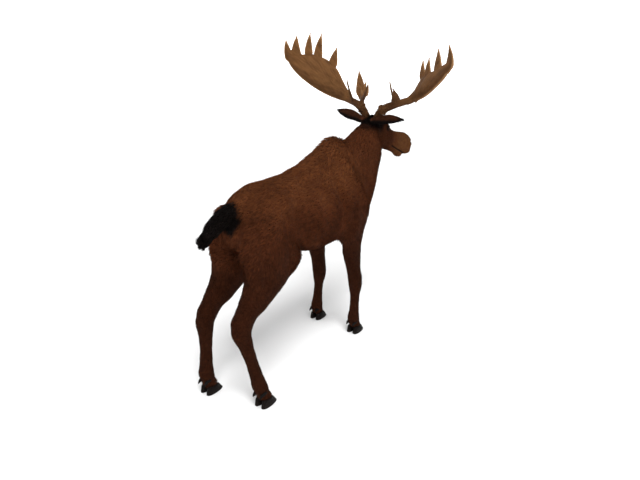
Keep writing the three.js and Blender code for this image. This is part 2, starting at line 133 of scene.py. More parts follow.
def relaxed(points, faces, rounds, freedom=1.0, back=0.57):
    """Each round moves the points part way to the mean of their neighbours and then back, which
    rounds off facets and keeps the bulk. Freedom is each point's share of the move."""
    edges = np.unique(sides_of(faces), axis=0)
    ends = np.concatenate([edges[:, 0], edges[:, 1]])
    others = np.concatenate([edges[:, 1], edges[:, 0]])
    neighbours = np.bincount(ends, minlength=len(points))[:, None]
    freedom = np.broadcast_to(np.asarray(freedom, float).reshape(-1, 1), (len(points), 1))
    for _ in range(rounds):
        for step in (0.55, -back):
            total = [np.bincount(ends, points[others, k], len(points)) for k in range(3)]
            points = points + step * freedom * (np.stack(total, axis=1) / neighbours - points)
    return points


def normals_of(points, triangles):
    """Each point's normal, the area-weighted mean of its triangles'."""
    a, b, c = (points[triangles[:, k]] for k in range(3))
    normal = np.cross(b - a, c - a)
    total = [np.bincount(triangles.ravel(), np.repeat(normal[:, k], 3), len(points)) for k in range(3)]
    return unit(np.stack(total, axis=1))


def halved(points, triangles, inside):
    """A triangle whose corners are all chosen becomes four, and one with two chosen becomes two."""
    sides = sides_of(triangles)
    number = sides[:, 0] * len(points) + sides[:, 1]
    _, first, which = np.unique(number, return_index=True, return_inverse=True)
    edges = sides[first]
    split = inside[edges].all(axis=1)
    middles = np.where(split, len(points) + np.cumsum(split) - 1, -1)[which].reshape(-1, 3)
    cuts = (middles >= 0).sum(axis=1)
    a, b, c = triangles[cuts == 3].T
    ab, bc, ca = middles[cuts == 3].T
    four = [(a, ab, ca), (ab, b, bc), (ca, bc, c), (ab, bc, ca)]
    halves, cut = triangles[cuts == 1], middles[cuts == 1]
    turn = (cut >= 0).argmax(axis=1)
    rows = np.arange(len(cut))
    a, b, c = (halves[rows, (turn + k) % 3] for k in range(3))
    middle = cut[rows, turn]
    two = [(a, middle, c), (middle, b, c)]
    made = [triangles[cuts == 0]] + [np.stack(corners, axis=1) for corners in four + two]
    return np.vstack([points, points[edges[split]].mean(axis=1)]), np.vstack(made)


def to_line(points, line):
    """Each point's distance from a line of straight stretches, the nearest place's distance along
    the line, and that place."""
    best = np.full(len(points), np.inf)
    along = np.zeros(len(points))
    nearest = np.zeros_like(points)
    run = 0.0
    for start, end in zip(line[:-1], line[1:]):
        stretch = end - start
        length = np.linalg.norm(stretch)
        share = np.clip((points - start) @ stretch / length**2, 0, 1)
        place = start + share[:, None] * stretch
        gap = np.linalg.norm(points - place, axis=1)
        closer = gap < best
        best = np.where(closer, gap, best)
        along = np.where(closer, run + share * length, along)
        nearest = np.where(closer[:, None], place, nearest)
        run += length
    return best, along, nearest


def gap_to(line, points):
    """Each point's distance from a line of straight stretches."""
    return to_line(points, np.array(line))[0]


# The head's own frame: u runs down the face from the poll, v stands up from the face line and
# y goes to the animal's left. The face falls forward and the head turns a little to the right.
poll = np.array([0.7985, -0.0202, 2.240])
face_fall, head_turn = np.radians([20.0, -4.5])
face_y = np.array([-np.sin(head_turn), np.cos(head_turn), 0.0])
face_u = np.cross(face_y, UP) * np.cos(face_fall) - UP * np.sin(face_fall)
HEAD = np.stack([face_u, np.cross(face_u, face_y), face_y])


def on_head(*place):
    """Places given as u, v, y, in the animal's frame."""
    return poll + np.array(place, float) @ HEAD


def in_head(points):
    """u, v and y of each point."""
    return ((points - poll) @ HEAD.T).T


def sided_head(points):
    """u, v and how far y is from the middle, in columns, so that both sides are one."""
    u, v, y = in_head(points)
    return np.stack([u, v, np.abs(y)], axis=1)


EYE_RADIUS = 0.022
EYE_PLACE = (0.215, -0.092, 0.093)
NOSTRIL = ((0.789, -0.112, 0.032), (0.772, -0.100, 0.058), (0.745, -0.124, 0.080))
MOUTH = ((0.425, -0.2345), (0.600, -0.2480), (0.700, -0.2557))

BODY_CUBE = 0.0165
FACET_ROUNDS = 130          # smoothing that rounds off the solids' facets
points, triangles = welded(FLESH, BODY_CUBE)
on_face = rising(0.02, 0.20, in_head(points)[0]) * rising(1.70, 1.80, points[:, 2])
near_floor = 1 - rising(0.25, 0.45, points[:, 2])
points = relaxed(points, triangles, FACET_ROUNDS, 1 - 0.85 * on_face - 0.45 * near_floor)


def head_zones(points):
    """Three masks, each in the one before: the head, its finely shaped parts, eyes and nostrils."""
    sided = sided_head(points)
    u, v, _ = sided.T
    head = (u > -0.06) & (points[:, 2] > 1.62) & (v > -0.50)
    eye = np.linalg.norm(sided - EYE_PLACE, axis=1)
    mouth = gap_to(MOUTH, sided[:, :2])
    fine = head & ((u > 0.62) | (eye < 0.090) | (mouth < 0.030))
    return head, fine, head & ((eye < 0.050) | (gap_to(NOSTRIL, sided) < 0.045) | (mouth < 0.016))


for zone, rounds in ((0, 8), (1, 5), (2, 2)):
    points, triangles = halved(points, triangles, head_zones(points)[zone])
    points = relaxed(points, triangles, rounds, head_zones(points)[0])


def hair_depth(points):
    """How deep the coat lies: thin on the face and lower legs, thick on the hump and neck."""
    height = points[:, 2]
    mane = rising(1.35, 1.85, height) * rising(-0.40, 0.05, points[:, 0])
    body = 0.009 + 0.009 * rising(0.55, 1.25, height) + 0.012 * mane
    return body + (0.0035 - body) * rising(0.02, 0.30, in_head(points)[0]) * rising(1.60, 1.75, height)


points = points - normals_of(points, triangles) * hair_depth(points)[:, None]

# Muscle and bone that show through the coat, as swellings and hollows along short lines: both ends
# on the animal's left, reach, and height over the skin. The head's are given as u, v, y.
BODY_FORMS = (
    ("gaskin, front", (-0.70, 0.20, 1.08), (-1.08, 0.22, 0.84), 0.090, 0.026),
    ("gaskin, back", (-1.14, 0.20, 1.16), (-1.27, 0.22, 0.92), 0.090, 0.022),
    ("hip point", (-0.78, 0.235, 1.72), (-0.76, 0.25, 1.68), 0.070, 0.026),
    ("pin bone", (-1.18, 0.10, 1.52), (-1.20, 0.11, 1.46), 0.070, 0.012),
    ("flank hollow", (-0.66, 0.30, 1.56), (-0.56, 0.33, 1.36), 0.100, -0.036),
    ("stifle", (-0.66, 0.29, 1.26), (-0.69, 0.27, 1.12), 0.080, 0.028),
    ("thigh", (-1.02, 0.27, 1.50), (-0.98, 0.28, 1.25), 0.110, 0.018),
    ("thigh furrow", (-1.13, 0.24, 1.52), (-1.09, 0.27, 1.08), 0.036, -0.020),
    ("thigh front furrow", (-0.80, 0.30, 1.55), (-0.84, 0.30, 1.20), 0.045, -0.016),
    ("shoulder blade", (0.10, 0.20, 2.00), (0.34, 0.31, 1.50), 0.070, 0.026),
    ("behind the shoulder", (-0.10, 0.27, 1.92), (-0.02, 0.36, 1.30), 0.065, -0.028),
    ("point of shoulder", (0.38, 0.24, 1.44), (0.37, 0.23, 1.36), 0.085, 0.018),
    ("upper foreleg", (0.10, 0.33, 1.46), (0.13, 0.32, 1.28), 0.095, 0.026),
    ("elbow", (0.03, 0.29, 1.20), (0.05, 0.29, 1.16), 0.060, 0.018),
    ("last rib", (-0.42, 0.33, 1.60), (-0.34, 0.37, 1.30), 0.060, 0.014),
    ("neck furrow", (0.66, 0.14, 1.90), (0.46, 0.24, 1.50), 0.050, -0.016),
    ("loin", (-0.70, 0.10, 1.86), (-0.20, 0.10, 1.88), 0.070, -0.006),
    ("brisket", (-0.02, 0.06, 1.07), (0.28, 0.06, 1.07), 0.140, -0.060),
    ("flank fold", (-0.58, 0.27, 1.19), (-0.36, 0.27, 1.15), 0.100, 0.030),
)
# Hock or knee of each leg, and its fetlock. Their forms are given from these: ahead, out and up.
JOINTS = {
    "hind_left": ((-1.317, 0.246, 0.735), (-1.367, 0.228, 0.190)),
    "hind_right": ((-1.323, -0.164, 0.745), (-1.225, -0.276, 0.190)),
    "fore_left": ((0.323, 0.276, 0.590), (0.331, 0.320, 0.170)),
    "fore_right": ((0.317, -0.194, 0.590), (0.317, -0.180, 0.170)),
}
HIND_FORMS = (
    ("heel", (-0.105, 0.0, 0.050), (-0.085, 0.0, 0.110), 0.040, 0.022),
    ("hollow before the tendon, outside", (-0.035, 0.080, 0.110), (0.060, 0.090, 0.260), 0.036, -0.014),
    ("hollow before the tendon, inside", (-0.035, -0.080, 0.110), (0.060, -0.090, 0.260), 0.036, -0.014),
    ("hock, outside", (0.015, 0.080, 0.020), (0.030, 0.080, -0.030), 0.036, 0.008),
    ("hock, inside", (0.015, -0.080, 0.020), (0.030, -0.080, -0.030), 0.036, 0.008),
)
FORE_FORMS = (
    ("knee", (0.075, 0.0, 0.030), (0.075, 0.0, -0.030), 0.055, 0.008),
    ("bone behind the knee", (-0.080, 0.0, 0.030), (-0.080, 0.0, 0.010), 0.032, 0.014),
    ("above the knee", (0.060, 0.060, 0.130), (0.060, 0.060, 0.150), 0.050, -0.006),
)
CANNON_FORMS = (
    ("groove before the tendon, outside", (-0.022, 0.062, -0.130), (-0.022, 0.062, -0.340), 0.024, -0.009),
    ("groove before the tendon, inside", (-0.022, -0.062, -0.130), (-0.022, -0.062, -0.340), 0.024, -0.009),
)
FETLOCK_FORMS = (("fetlock", (-0.02, 0, 0), (-0.01, 0, -0.02), 0.055, 0.007),)
HEAD_FORMS = (
    ("brow", (0.165, -0.045, 0.100), (0.235, -0.058, 0.098), 0.026, 0.010),
    ("before the eye", (0.268, -0.115, 0.105), (0.320, -0.130, 0.090), 0.024, -0.008),
    ("cheek", (0.160, -0.270, 0.125), (0.260, -0.240, 0.115), 0.070, 0.012),
    ("cheekbone", (0.240, -0.148, 0.115), (0.400, -0.175, 0.085), 0.026, 0.009),
    ("under the cheekbone", (0.330, -0.225, 0.090), (0.470, -0.205, 0.070), 0.034, -0.010),
    ("bridge side", (0.420, -0.115, 0.075), (0.620, -0.105, 0.075), 0.030, -0.006),
    ("nostril rim", (0.787, -0.080, 0.040), (0.735, -0.152, 0.085), 0.030, 0.010),
    ("upper lip", (0.640, -0.220, 0.078), (0.755, -0.220, 0.062), 0.028, 0.009),
    ("above the lip", (0.600, -0.165, 0.080), (0.700, -0.175, 0.085), 0.026, -0.005),
    ("chin", (0.630, -0.290, 0.020), (0.660, -0.290, 0.020), 0.030, 0.007),
)


def swollen(points, triangles, forms, sided):
    """Points moved out along their normals by every form's height times exp(-(gap / reach)^2).
    Sided gives where the points lie among the forms."""
    rise = sum(
        height * np.exp(-((gap_to((start, end), sided) / reach) ** 2))
        for _, start, end, reach, height in forms
    )
    return points + normals_of(points, triangles) * rise[:, None]


def left_of(points):
    """The body's points brought over to its left side."""
    return np.stack([points[:, 0], midline + np.abs(points[:, 1] - midline), points[:, 2]], axis=1)


points = swollen(points, triangles, BODY_FORMS, left_of(points))
for leg, (joint, fetlock) in JOINTS.items():
    joint, fetlock = np.array(joint), np.array(fetlock)
    side = np.array([1, 1 if leg.endswith("left") else -1, 1])
    forms = HIND_FORMS if leg.startswith("hind") else FORE_FORMS
    points = swollen(points, triangles, forms, (points - joint) * side)
    upright = points - joint
    upright[:, :2] += upright[:, 2:] * (fetlock - joint)[:2] / (joint - fetlock)[2]
    points = swollen(points, triangles, CANNON_FORMS, upright)
    points = swollen(points, triangles, FETLOCK_FORMS, points - fetlock)
points = swollen(points, triangles, HEAD_FORMS, sided_head(points))

# The nostrils are deep commas, and the mouth a groove round both sides: depth and half width.
NOSTRIL_CUT = (0.026, 0.0115)
MOUTH_CUT = (0.011, 0.0055)
HEAD_BOTTOM = 1.6           # nothing of the head is lower
sided = sided_head(points)
carved = 0.0
for (depth, half), gap in ((NOSTRIL_CUT, gap_to(NOSTRIL, sided)), (MOUTH_CUT, gap_to(MOUTH, sided[:, :2]))):
    carved = carved + depth * np.exp(-((gap / half) ** 2)) * (points[:, 2] > HEAD_BOTTOM)
points = points - normals_of(points, triangles) * carved[:, None]

# Lids: skin over the ball of the eye is carried out to just over it, and inside the almond-shaped
# opening, given in radians, it is drawn in behind the ball's front.
LID = 0.0026
LID_DRAWN_IN = 0.008
OPENING = {"half_width": 0.98, "upper": 0.66, "lower": 0.46}


def eye_frame(side):
    """The eye's middle, and its ways out of the head, along the lids towards the nose, and up."""
    out = unit(np.array([0.28, 0.16, side * 0.95]) @ HEAD)
    ahead = np.array([1.0, -0.22, 0.0]) @ HEAD
    ahead = unit(ahead - out * (ahead @ out))
    over = np.cross(out, ahead) * side
    return on_head(EYE_PLACE[0], EYE_PLACE[1], side * EYE_PLACE[2]), out, ahead, over * np.sign(over[2])


def lid_edge(along):
    """Angles of the upper and lower lid edges over the eye's level, at each angle along it."""
    arch = np.sqrt(np.clip(1 - (along / OPENING["half_width"]) ** 2, 0, 1))
    return OPENING["upper"] * arch, -OPENING["lower"] * arch


for _, side in SIDES:
    middle, out, ahead, over = eye_frame(side)
    off = points - middle
    reach = np.linalg.norm(off, axis=1)
    facing = off @ out
    along = np.arctan2(off @ ahead, facing)
    level = np.arctan2(off @ over, np.hypot(facing, off @ ahead))
    upper, lower = lid_edge(along)
    near = (reach < 0.05) & (facing > 0)
    open_eye = near & (level < upper) & (level > lower)
    lidded = near & ~open_eye & (reach < EYE_RADIUS + LID)
    points[lidded] = middle + unit(off[lidded]) * (EYE_RADIUS + LID)
    points[open_eye] = middle + unit(off[open_eye]) * (EYE_RADIUS - LID_DRAWN_IN)

# ==== Ears ==========================================================================================
# Each ear is a long cupped leaf that stands out sideways behind the antler, its hollow turned
# forward and down. It is a tube whose front wall follows the back wall, closed at root and tip.

EAR_LENGTH = 0.362
# Share of the length, half the breadth, and the height of the arch of the back.
EAR_ROWS = (
    (0.0, 0.036, 0.034), (0.11, 0.034, 0.030), (0.24, 0.042, 0.026), (0.40, 0.053, 0.021),
    (0.56, 0.053, 0.017), (0.72, 0.042, 0.012), (0.86, 0.027, 0.008), (1.0, 0.003, 0.003),
)
EAR_WALL = 0.007
EAR_LIFT = {"left": 0.25, "right": 0.14}        # rise for each metre out


def between(rows, share):
    """The values that rows of (place, values) give at each share of the way, rounded at the rows."""
    places, *columns = np.array(rows, float).T
    fine = np.linspace(0, 1, 141)
    line = np.stack([np.interp(fine, places, column) for column in columns], axis=1)
    for _ in range(60):
        line[1:-1] = (line[:-2] + 2 * line[1:-1] + line[2:]) / 4
    return np.stack([np.interp(share, fine, column) for column in line.T], axis=-1)


def turns(count):
    """Angles evenly spaced round a circle."""
    return np.arange(count) * 2 * np.pi / count


def facing_out(points, faces):
    """The points, and the faces turned so that they point out of the closed shape."""
    a, b, c = (points[faces[:, k]] - points.mean(axis=0) for k in range(3))
    return points, faces if (a * np.cross(b, c)).sum() > 0 else faces[:, ::-1]


def tube(rings):
    """A closed tube through rings of points, each end a fan on its ring's first point."""
    along, around, _ = rings.shape
    ring, corner = (grid.ravel() for grid in np.mgrid[0:along - 1, 0:around])
    a, b = ring * around + corner, ring * around + (corner + 1) % around
    fan = np.arange(1, around - 1)
    low = np.stack([0 * fan, fan + 1, fan], axis=1)
    high = np.stack([0 * fan, fan, fan + 1], axis=1) + (along - 1) * around
    faces = np.vstack([two_each(np.stack([a, b, b + around, a + around], axis=1)), low, high])
    return facing_out(rings.reshape(-1, 3), faces)


def ear_surface(label, side, around=48, along=60):
    """Across each section the back wall is an arch and the front wall lies a wall's thickness under
    it, so that the section is a cup. Gives the points, faces, and each point's share of the ear's
    length, place across it and 1 if it is in the hollow."""
    reach = unit(side * face_y + EAR_LIFT[label] * UP)
    back = np.array([-0.75, -0.1 * side, 0.62])
    back = unit(back - reach * (back @ reach))
    wide = np.cross(reach, back)
    wide = wide * np.sign(wide[2])
    share, angle = np.meshgrid(np.linspace(0, 1, along), turns(around), indexing="ij")
    half, arch = np.moveaxis(between(EAR_ROWS, share), -1, 0)
    across, rise = np.cos(angle), np.sin(angle)
    open_cup = rising(0.14, 0.30, share)
    hollow = arch * np.sqrt(1 - across**2) - EAR_WALL * np.abs(rise) ** 0.7
    front = -arch * np.abs(rise) * (1 - open_cup) * 0.6 + hollow * open_cup
    height = np.where(rise > 0, arch * rise, front) + 0.014 * np.sin(np.pi * share) - 0.010 * share**2
    place = np.stack([share * EAR_LENGTH, across * half, height], axis=-1) @ np.stack([reach, wide, back])
    shares = [share.ravel(), across.ravel(), (rise.ravel() < -0.2) * 1.0]
    return *tube(on_head(-0.022, -0.086, side * 0.055) + place), *shares


ears = {label: ear_surface(label, side) for label, side in SIDES}

# ==== Colours of the coat ===========================================================================
# Dark reddish brown all over, with painted light a shade lighter on the back and hump and painted shade
# darker on the belly and legs, tan on the muzzle, and black on the crown between the antlers, the ears' lower
# edges and the tail.
# Linear red, green and blue.

BROWN = (0.100, 0.0290, 0.0110)
DARK_BROWN = (0.044, 0.0120, 0.0045)
# A painted lit brown for the tops of the back and hump, where the light from above falls.
PAINTED_LIT_BROWN = (0.175, 0.0570, 0.0200)
TAN = (0.170, 0.0660, 0.0245)
BLACK = (0.0055, 0.0036, 0.0030)
rng = np.random.default_rng(7)
waves = rng.normal(size=(12, 3))
phases = rng.uniform(0, 2 * np.pi, 12)


def ripple(points, scale, first=0):
    """A smooth uneven field between about -1 and 1: six plane waves of about the given length."""
    total = [np.sin(points @ (waves[k] * 2 * np.pi / scale) + phases[k]) for k in range(first, first + 6)]
    return sum(total) / 2.6


def plain(colour, count):
    """One colour for each of count points."""
    return np.tile(colour, (count, 1)).astype(float)


def tinted(colours, tint, share):
    """Colours drawn to a tint by each point's share."""
    return colours + (np.array(tint) - colours) * np.clip(share, 0, 1)[:, None]


def coat_colours(points):
    """The colour of skin and hair at each place on the body, painted light and shade included."""
    sided = sided_head(points)
    u, v, y = sided.T
    height = points[:, 2]
    colours = plain(BROWN, len(points))
    patchy = 0.07 * ripple(points, 0.45) + 0.04 * ripple(points, 0.16, 6)
    # Painted light: lighter towards the top of the back and hump, as if lit from above, less so towards the
    # head.
    painted_top_light = rising(1.40, 1.85, height + 0.5 * patchy) * (1 - 0.75 * rising(0.15, 0.50, points[:, 0]))
    colours = tinted(colours, PAINTED_LIT_BROWN, painted_top_light)
    # Painted shade: darker below the flank, on the belly and legs.
    colours = tinted(colours, DARK_BROWN, 0.9 * (1 - rising(0.95, 1.50, height + patchy)))
    head = rising(1.60, 1.75, height) * rising(-0.05, 0.05, u)
    colours = tinted(colours, DARK_BROWN, 0.5 * head * rising(0.0, 0.15, u) * (1 - rising(0.30, 0.50, u)))
    colours = tinted(colours, TAN, head * rising(0.36, 0.58, u + 0.3 * patchy))
    nape = rising(-0.32, -0.12, u) * (1 - rising(0.10, 0.17, u)) * rising(-0.20, -0.08, v)
    nape = nape * rising(1.95, 2.05, height)
    colours = tinted(colours, DARK_BROWN, 0.8 * nape)
    tail = 1 - rising(0.10, 0.13, gap_to(LINES["tail"], points))
    eye = np.linalg.norm(sided - EYE_PLACE, axis=1)
    black = (
        nape * rising(-0.14, -0.06, u) * (1 - rising(0.11, 0.16, y)),
        tail * (1 - rising(-1.16, -1.10, points[:, 0])),
        0.95 * (1 - rising(0.009, 0.022, gap_to(NOSTRIL, sided))),
        0.9 * head * (1 - rising(0.004, 0.012, gap_to(MOUTH, sided[:, :2]))),
        0.8 * (1 - rising(0.026, 0.040, eye)),
    )
    for share in black:
        colours = tinted(colours, BLACK, share)
    return colours * (1 + 1.2 * patchy[:, None])


def ear_colours(share, across, hollow):
    """Brown, with a black lower edge and tip, and paler hair in the hollow."""
    colours = plain((0.056, 0.0190, 0.0085), len(share))
    colours = tinted(colours, TAN, 0.45 * hollow * (1 - rising(0.5, 0.9, share)))
    return tinted(colours, BLACK, np.maximum(1 - rising(-0.75, -0.10, across), rising(0.72, 0.98, share)))


def middle_of(node):
    """The middle of a solid's box."""
    low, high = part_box(node)
    return np.array((low + high) / 2)


def leg_line(leg):
    """The line down a leg through the middles of its parts to the floor."""
    top = "thigh" if leg.startswith("hind") else "shoulder"
    places = [middle_of(f"{part}_{leg}") for part in (top, "shank", "cannon", "foot")]
    return np.array(places + [places[-1] * (1, 1, 0) + (0.02, 0, 0)])


# The lines that the parts are built along, and about how far each part's surface is from its line.
tail_low, tail_high = (np.array(corner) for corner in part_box("tail"))
bell_low, bell_high = (np.array(corner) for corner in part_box("bell"))
LINES = {
    "trunk": np.array([[-1.22, midline, 1.50], [0.25, midline, 1.52]]),
    "neck": np.array([[0.33, midline, 1.62], [0.80, poll[1], 2.02]]),
    "head": np.array([on_head(0.02, -0.17, 0.0), on_head(0.80, -0.15, 0.0)]),
    "tail": np.array([
        [tail_high[0], midline, tail_high[2] - 0.09],
        [tail_low[0], midline, tail_low[2] + 0.05],
    ]),
    "bell": np.array([
        [bell_high[0] - 0.03, poll[1], bell_high[2]],
        [bell_high[0] - 0.05, poll[1], bell_low[2]],
    ]),
}
LINES.update({leg: leg_line(leg) for leg in LEGS})
GIRTH = {"trunk": 0.34, "neck": 0.26, "head": 0.14, "tail": 0.080, "bell": 0.045}
GIRTH.update(dict.fromkeys(LEGS, 0.17))


class Value:
    """One output of a shader node, on which ordinary arithmetic adds Math nodes."""

    def __init__(self, finish, socket):
        self.finish, self.socket = finish, socket

    def math(self, operation, first, second):
        """A Math node of two values or numbers."""
        return self.finish.node("Math", {"operation": operation}, {0: first, 1: second})

    def __add__(self, other):
        return self.math("ADD", self, other)

    def __mul__(self, other):
        return self.math("MULTIPLY", self, other)

    __radd__ = __add__
    __rmul__ = __mul__


class Finish:
    """A material, with a method that adds any node, short ones for the commonest, and one that
    feeds its shader."""

    def __init__(self, name):
        self.material = bpy.data.materials.new(name)
        self.material.use_nodes = True
        self.tree = self.material.node_tree
        self.shader = self.tree.nodes["Principled BSDF"]

    def feed(self, socket, value):
        """Links a value to a socket, or sets it."""
        if isinstance(value, Value):
            self.tree.links.new(value.socket, socket)
        else:
            socket.default_value = value

    def node(self, kind, settings=None, sockets=None, output=0):
        """A node of any kind, its settings first and then its sockets."""
        made = self.tree.nodes.new("ShaderNode" + kind)
        for key, value in (settings or {}).items():
            setattr(made, key, value)
        for key, value in (sockets or {}).items():
            self.feed(made.inputs[key], value)
        return Value(self, made.outputs[output])

    def noise(self, place, scale, detail):
        """An uneven field between 0 and 1."""
        return self.node("TexNoise", {}, {"Vector": place, "Scale": scale, "Detail": detail})

    def scaled(self, colour, share):
        """A colour made lighter or darker."""
        return self.node("VectorMath", {"operation": "SCALE"}, {0: colour, "Scale": share})

    def bumped(self, height, strength, distance):
        """Relief up to a distance high."""
        return self.node("Bump", {}, {"Height": height, "Strength": strength, "Distance": distance})

    def surface(self, **sockets):
        """The material, its shader's sockets fed by name."""
        for name, value in sockets.items():
            self.feed(self.shader.inputs[name.replace("_", " ")], value)
        return self.material


def hair_finish(name, bump):
    """Matt hair: the colour painted on each piece, painted light and shade included, mottled finely, with the
    grain of short hair as bump.
    """
    made = Finish(name)
    place = made.node("TexCoord", output="Object")
    coat = made.node("Attribute", {"attribute_name": "Coat"}, output="Color")
    shade = made.scaled(coat, made.noise(place, 38.0, 3.0) * 0.9 + 0.55)
    relief = made.bumped(made.noise(place, 420.0, 2.0), bump, 0.004)
    return made.surface(Base_Color=shade, Roughness=0.80, Normal=relief, Specular_IOR_Level=0.05)


def show(name, shape, finish, slot, colours=None, spots=None):
    """A piece of the animal at its place, with its finish, its colours and, for hair, its bake map."""
    points, faces = shape
    mesh = bare_mesh(name, points, faces)
    if colours is not None:
        paint = mesh.attributes.new("Coat", "FLOAT_COLOR", "POINT")
        whole = np.concatenate([np.clip(colours, 0, 1), np.ones((len(colours), 1))], axis=1)
        paint.data.foreach_set("color", whole.astype(np.float32).ravel())
    if spots is not None:
        bake = mesh.uv_layers.new(name="OFBake")
        bake.data.foreach_set("uv", spots[faces.ravel()].astype(np.float32).ravel())
    mesh.materials.append(finish)
    piece = put(name, mesh)
    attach(piece, "root")
    return piece


skin_shape = joined([(points, triangles)] + [ears[label][:2] for label, _ in SIDES])
skin_colours = np.vstack([coat_colours(points)] + [ear_colours(*ears[label][2:]) for label, _ in SIDES])
IN_SHADE = 0.75             # the skin between the hairs is this much darker
skin = show("skin", skin_shape, hair_finish("short hair", 0.5), "coat", skin_colours * IN_SHADE)
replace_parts(skin, *FLESH, "ear_left", "ear_right")

# ==== Hair ==========================================================================================
# Guard hair in locks: each lock is a slim three-sided spike, rooted in the skin, that rises a little
# and then lies along the body. Longest on the hump, neck, bell and tail, shortest on the face.

PATCH = 0.003
LOCK_CORNERS = np.radians([20.0, 160.0, 270.0])


def on_skin(ways, normal):
    """Each way turned to lie along the skin."""
    return unit(ways - normal * (ways * normal).sum(axis=1, keepdims=True))


def lie_of(points, normal):
    """Which way the hair lies: towards the tail and down on the trunk, down the legs, and from the
    nose back over the head, each part's own way weighed by how near the part is."""
    ways = {
        "trunk": (-1.0, 0.0, -0.38), "neck": (-0.80, 0.0, -0.62), "head": (-0.9, -0.25, 0.0) @ HEAD,
        "tail": unit(LINES["tail"][1] - LINES["tail"][0]), "bell": (-0.1, 0.0, -1.0),
    }
    total = np.zeros_like(points)
    for part, line in LINES.items():
        weight = np.exp(-3.0 * (gap_to(line, points) / GIRTH[part]) ** 2) + 1e-9
        total += weight[:, None] * np.array(ways.get(part, (-0.16, 0.0, -1.0)))
    total = unit(total)
    turn = 0.30 * ripple(points, 0.22) + 0.16 * ripple(points, 0.06, 6)
    return on_skin(total + np.cross(normal, total) * turn[:, None], normal)


BELLY_LOW = 0.98            # only the legs are lower


def part_of(points):
    """The name of the part that each point is on, the nearest for its girth, and its place along
    and around that part."""
    names = np.array(list(LINES))
    rows = [to_line(points, LINES[part]) for part in names]
    gaps = np.stack([row[0] / GIRTH[part] for part, row in zip(names, rows)])
    gaps[:-len(LEGS), points[:, 2] < BELLY_LOW] += 9
    nearest = gaps.argmin(axis=0)
    pick = np.arange(len(points))
    along = np.stack([row[1] for row in rows])[nearest, pick]
    off = points - np.stack([row[2] for row in rows])[nearest, pick]
    upright = np.isin(names[nearest], LEGS + ("bell",))
    around = np.where(upright, np.arctan2(off[:, 1], off[:, 0]), np.arctan2(off[:, 1], off[:, 2]))
    return names[nearest], along, around


STIFLE_EDGE = ((-0.60, 0.26, 1.26), (-0.64, 0.25, 1.02))


def hair_length(points):
    """Length of the guard hair at each place: the leg's, then what the body, mane, feet, tail and
    bell add to it, halved on the edge of the stifle and drawn to the face's over the head."""
    height = points[:, 2]
    length = 0.016 + 0.032 * rising(0.75, 1.20, height)
    length += 0.026 * rising(1.40, 1.95, height) * rising(-0.45, 0.10, points[:, 0])
    length += 0.014 * (1 - rising(0.09, 0.15, height))
    length += 0.016 * (1 - rising(0.09, 0.12, gap_to(LINES["tail"], points))) * (points[:, 0] < -1.12)
    length += 0.050 * (1 - rising(0.05, 0.10, gap_to(LINES["bell"], points)))
    length *= 1 - 0.50 * np.exp(-((gap_to(STIFLE_EDGE, left_of(points)) / 0.10) ** 2))
    face = rising(-0.16, 0.22, in_head(points)[0]) * rising(1.60, 1.75, height)
    return length + (0.012 - length) * face


def lock_width(length):
    """Breadth of a lock at its root."""
    return 0.0022 + 0.10 * length


def hairless(points):
    """Places with no hair: inside the nostrils and mouth and between the eyelids."""
    sided = sided_head(points)
    eye = np.linalg.norm(sided - EYE_PLACE, axis=1)
    inside = (gap_to(NOSTRIL, sided) < 0.013) | (eye < 0.027) | (gap_to(MOUTH, sided[:, :2]) < 0.005)
    return inside & (points[:, 2] > HEAD_BOTTOM)


def scattered(points, triangles, weight, count):
    """Places spread evenly over the triangles by area and weight: the triangle of each, and its
    corners' shares."""
    a, b, c = (points[triangles[:, k]] for k in range(3))
    total = np.cumsum(np.linalg.norm(np.cross(b - a, c - a), axis=1) * weight)
    chosen = np.searchsorted(total, (np.arange(count) + rng.random(count)) / count * total[-1])
    p, q = np.sqrt(rng.random(count)), rng.random(count)
    return triangles[np.minimum(chosen, len(triangles) - 1)], np.stack([1 - p, p * (1 - q), p * q], axis=1)


def at(values, corners, shares):
    """Values of the surface's points carried to places on its triangles."""
    return np.einsum("ij...,ij->i...", values[corners], shares)


def lock_arrays(root, normal, lie, length, width, lift, colour, place, rings=(0.0, 0.5)):
    """Spikes with a three-cornered section at each ring's share of the length and a point at the end.
    The middle line leaves the skin, rises by lift and levels off. Tips are paler than roots."""
    side = np.cross(normal, lie)
    sunk = np.minimum(0.002, 0.06 * length)
    points, shades, spots = [], [], []
    for number, share in enumerate(rings + (1.0,)):
        rise = lift * (1 - (1 - share) ** 2) - sunk
        middle = root + lie * (length * share)[:, None] + normal * rise[:, None]
        middle[:, 2] -= 0.10 * length * share**2 * rising(0.06, 0.12, length)
        half = (width / 2 * (1 - 0.45 * share))[:, None]
        row = (number + 0.5) / (len(rings) + 1) - 0.5
        for corner, angle in enumerate(LOCK_CORNERS if share < 1 else LOCK_CORNERS[:1]):
            thick = half * (side * np.cos(angle) + 0.45 * normal * np.sin(angle)) if share < 1 else 0
            points.append(middle + thick)
            shades.append(colour * (0.62 + 0.55 * share))
            spots.append(place + PATCH * np.array([(corner - 1) * 0.4, row]))
    corners = len(points)
    faces = [(0, 2, 1)]
    for ring in range(len(rings) - 1):
        for k in range(3):
            a, b = 3 * ring + k, 3 * ring + (k + 1) % 3
            faces += [(a, b, b + 3), (a, b + 3, a + 3)]
    faces += [(corners - 4 + k, corners - 4 + (k + 1) % 3, corners - 1) for k in range(3)]
    faces = (np.array(faces) + (np.arange(len(root)) * corners)[:, None, None]).reshape(-1, 3)
    points, shades, spots = (
        np.stack(rows, axis=1).reshape(-1, rows[0].shape[1]) for rows in (points, shades, spots)
    )
    return (points, faces), shades, spots


def filling(place):
    """Places on an unwrap, stretched to fill it."""
    return 0.01 + 0.98 * (place - place.min(axis=0)) / np.ptp(place, axis=0)


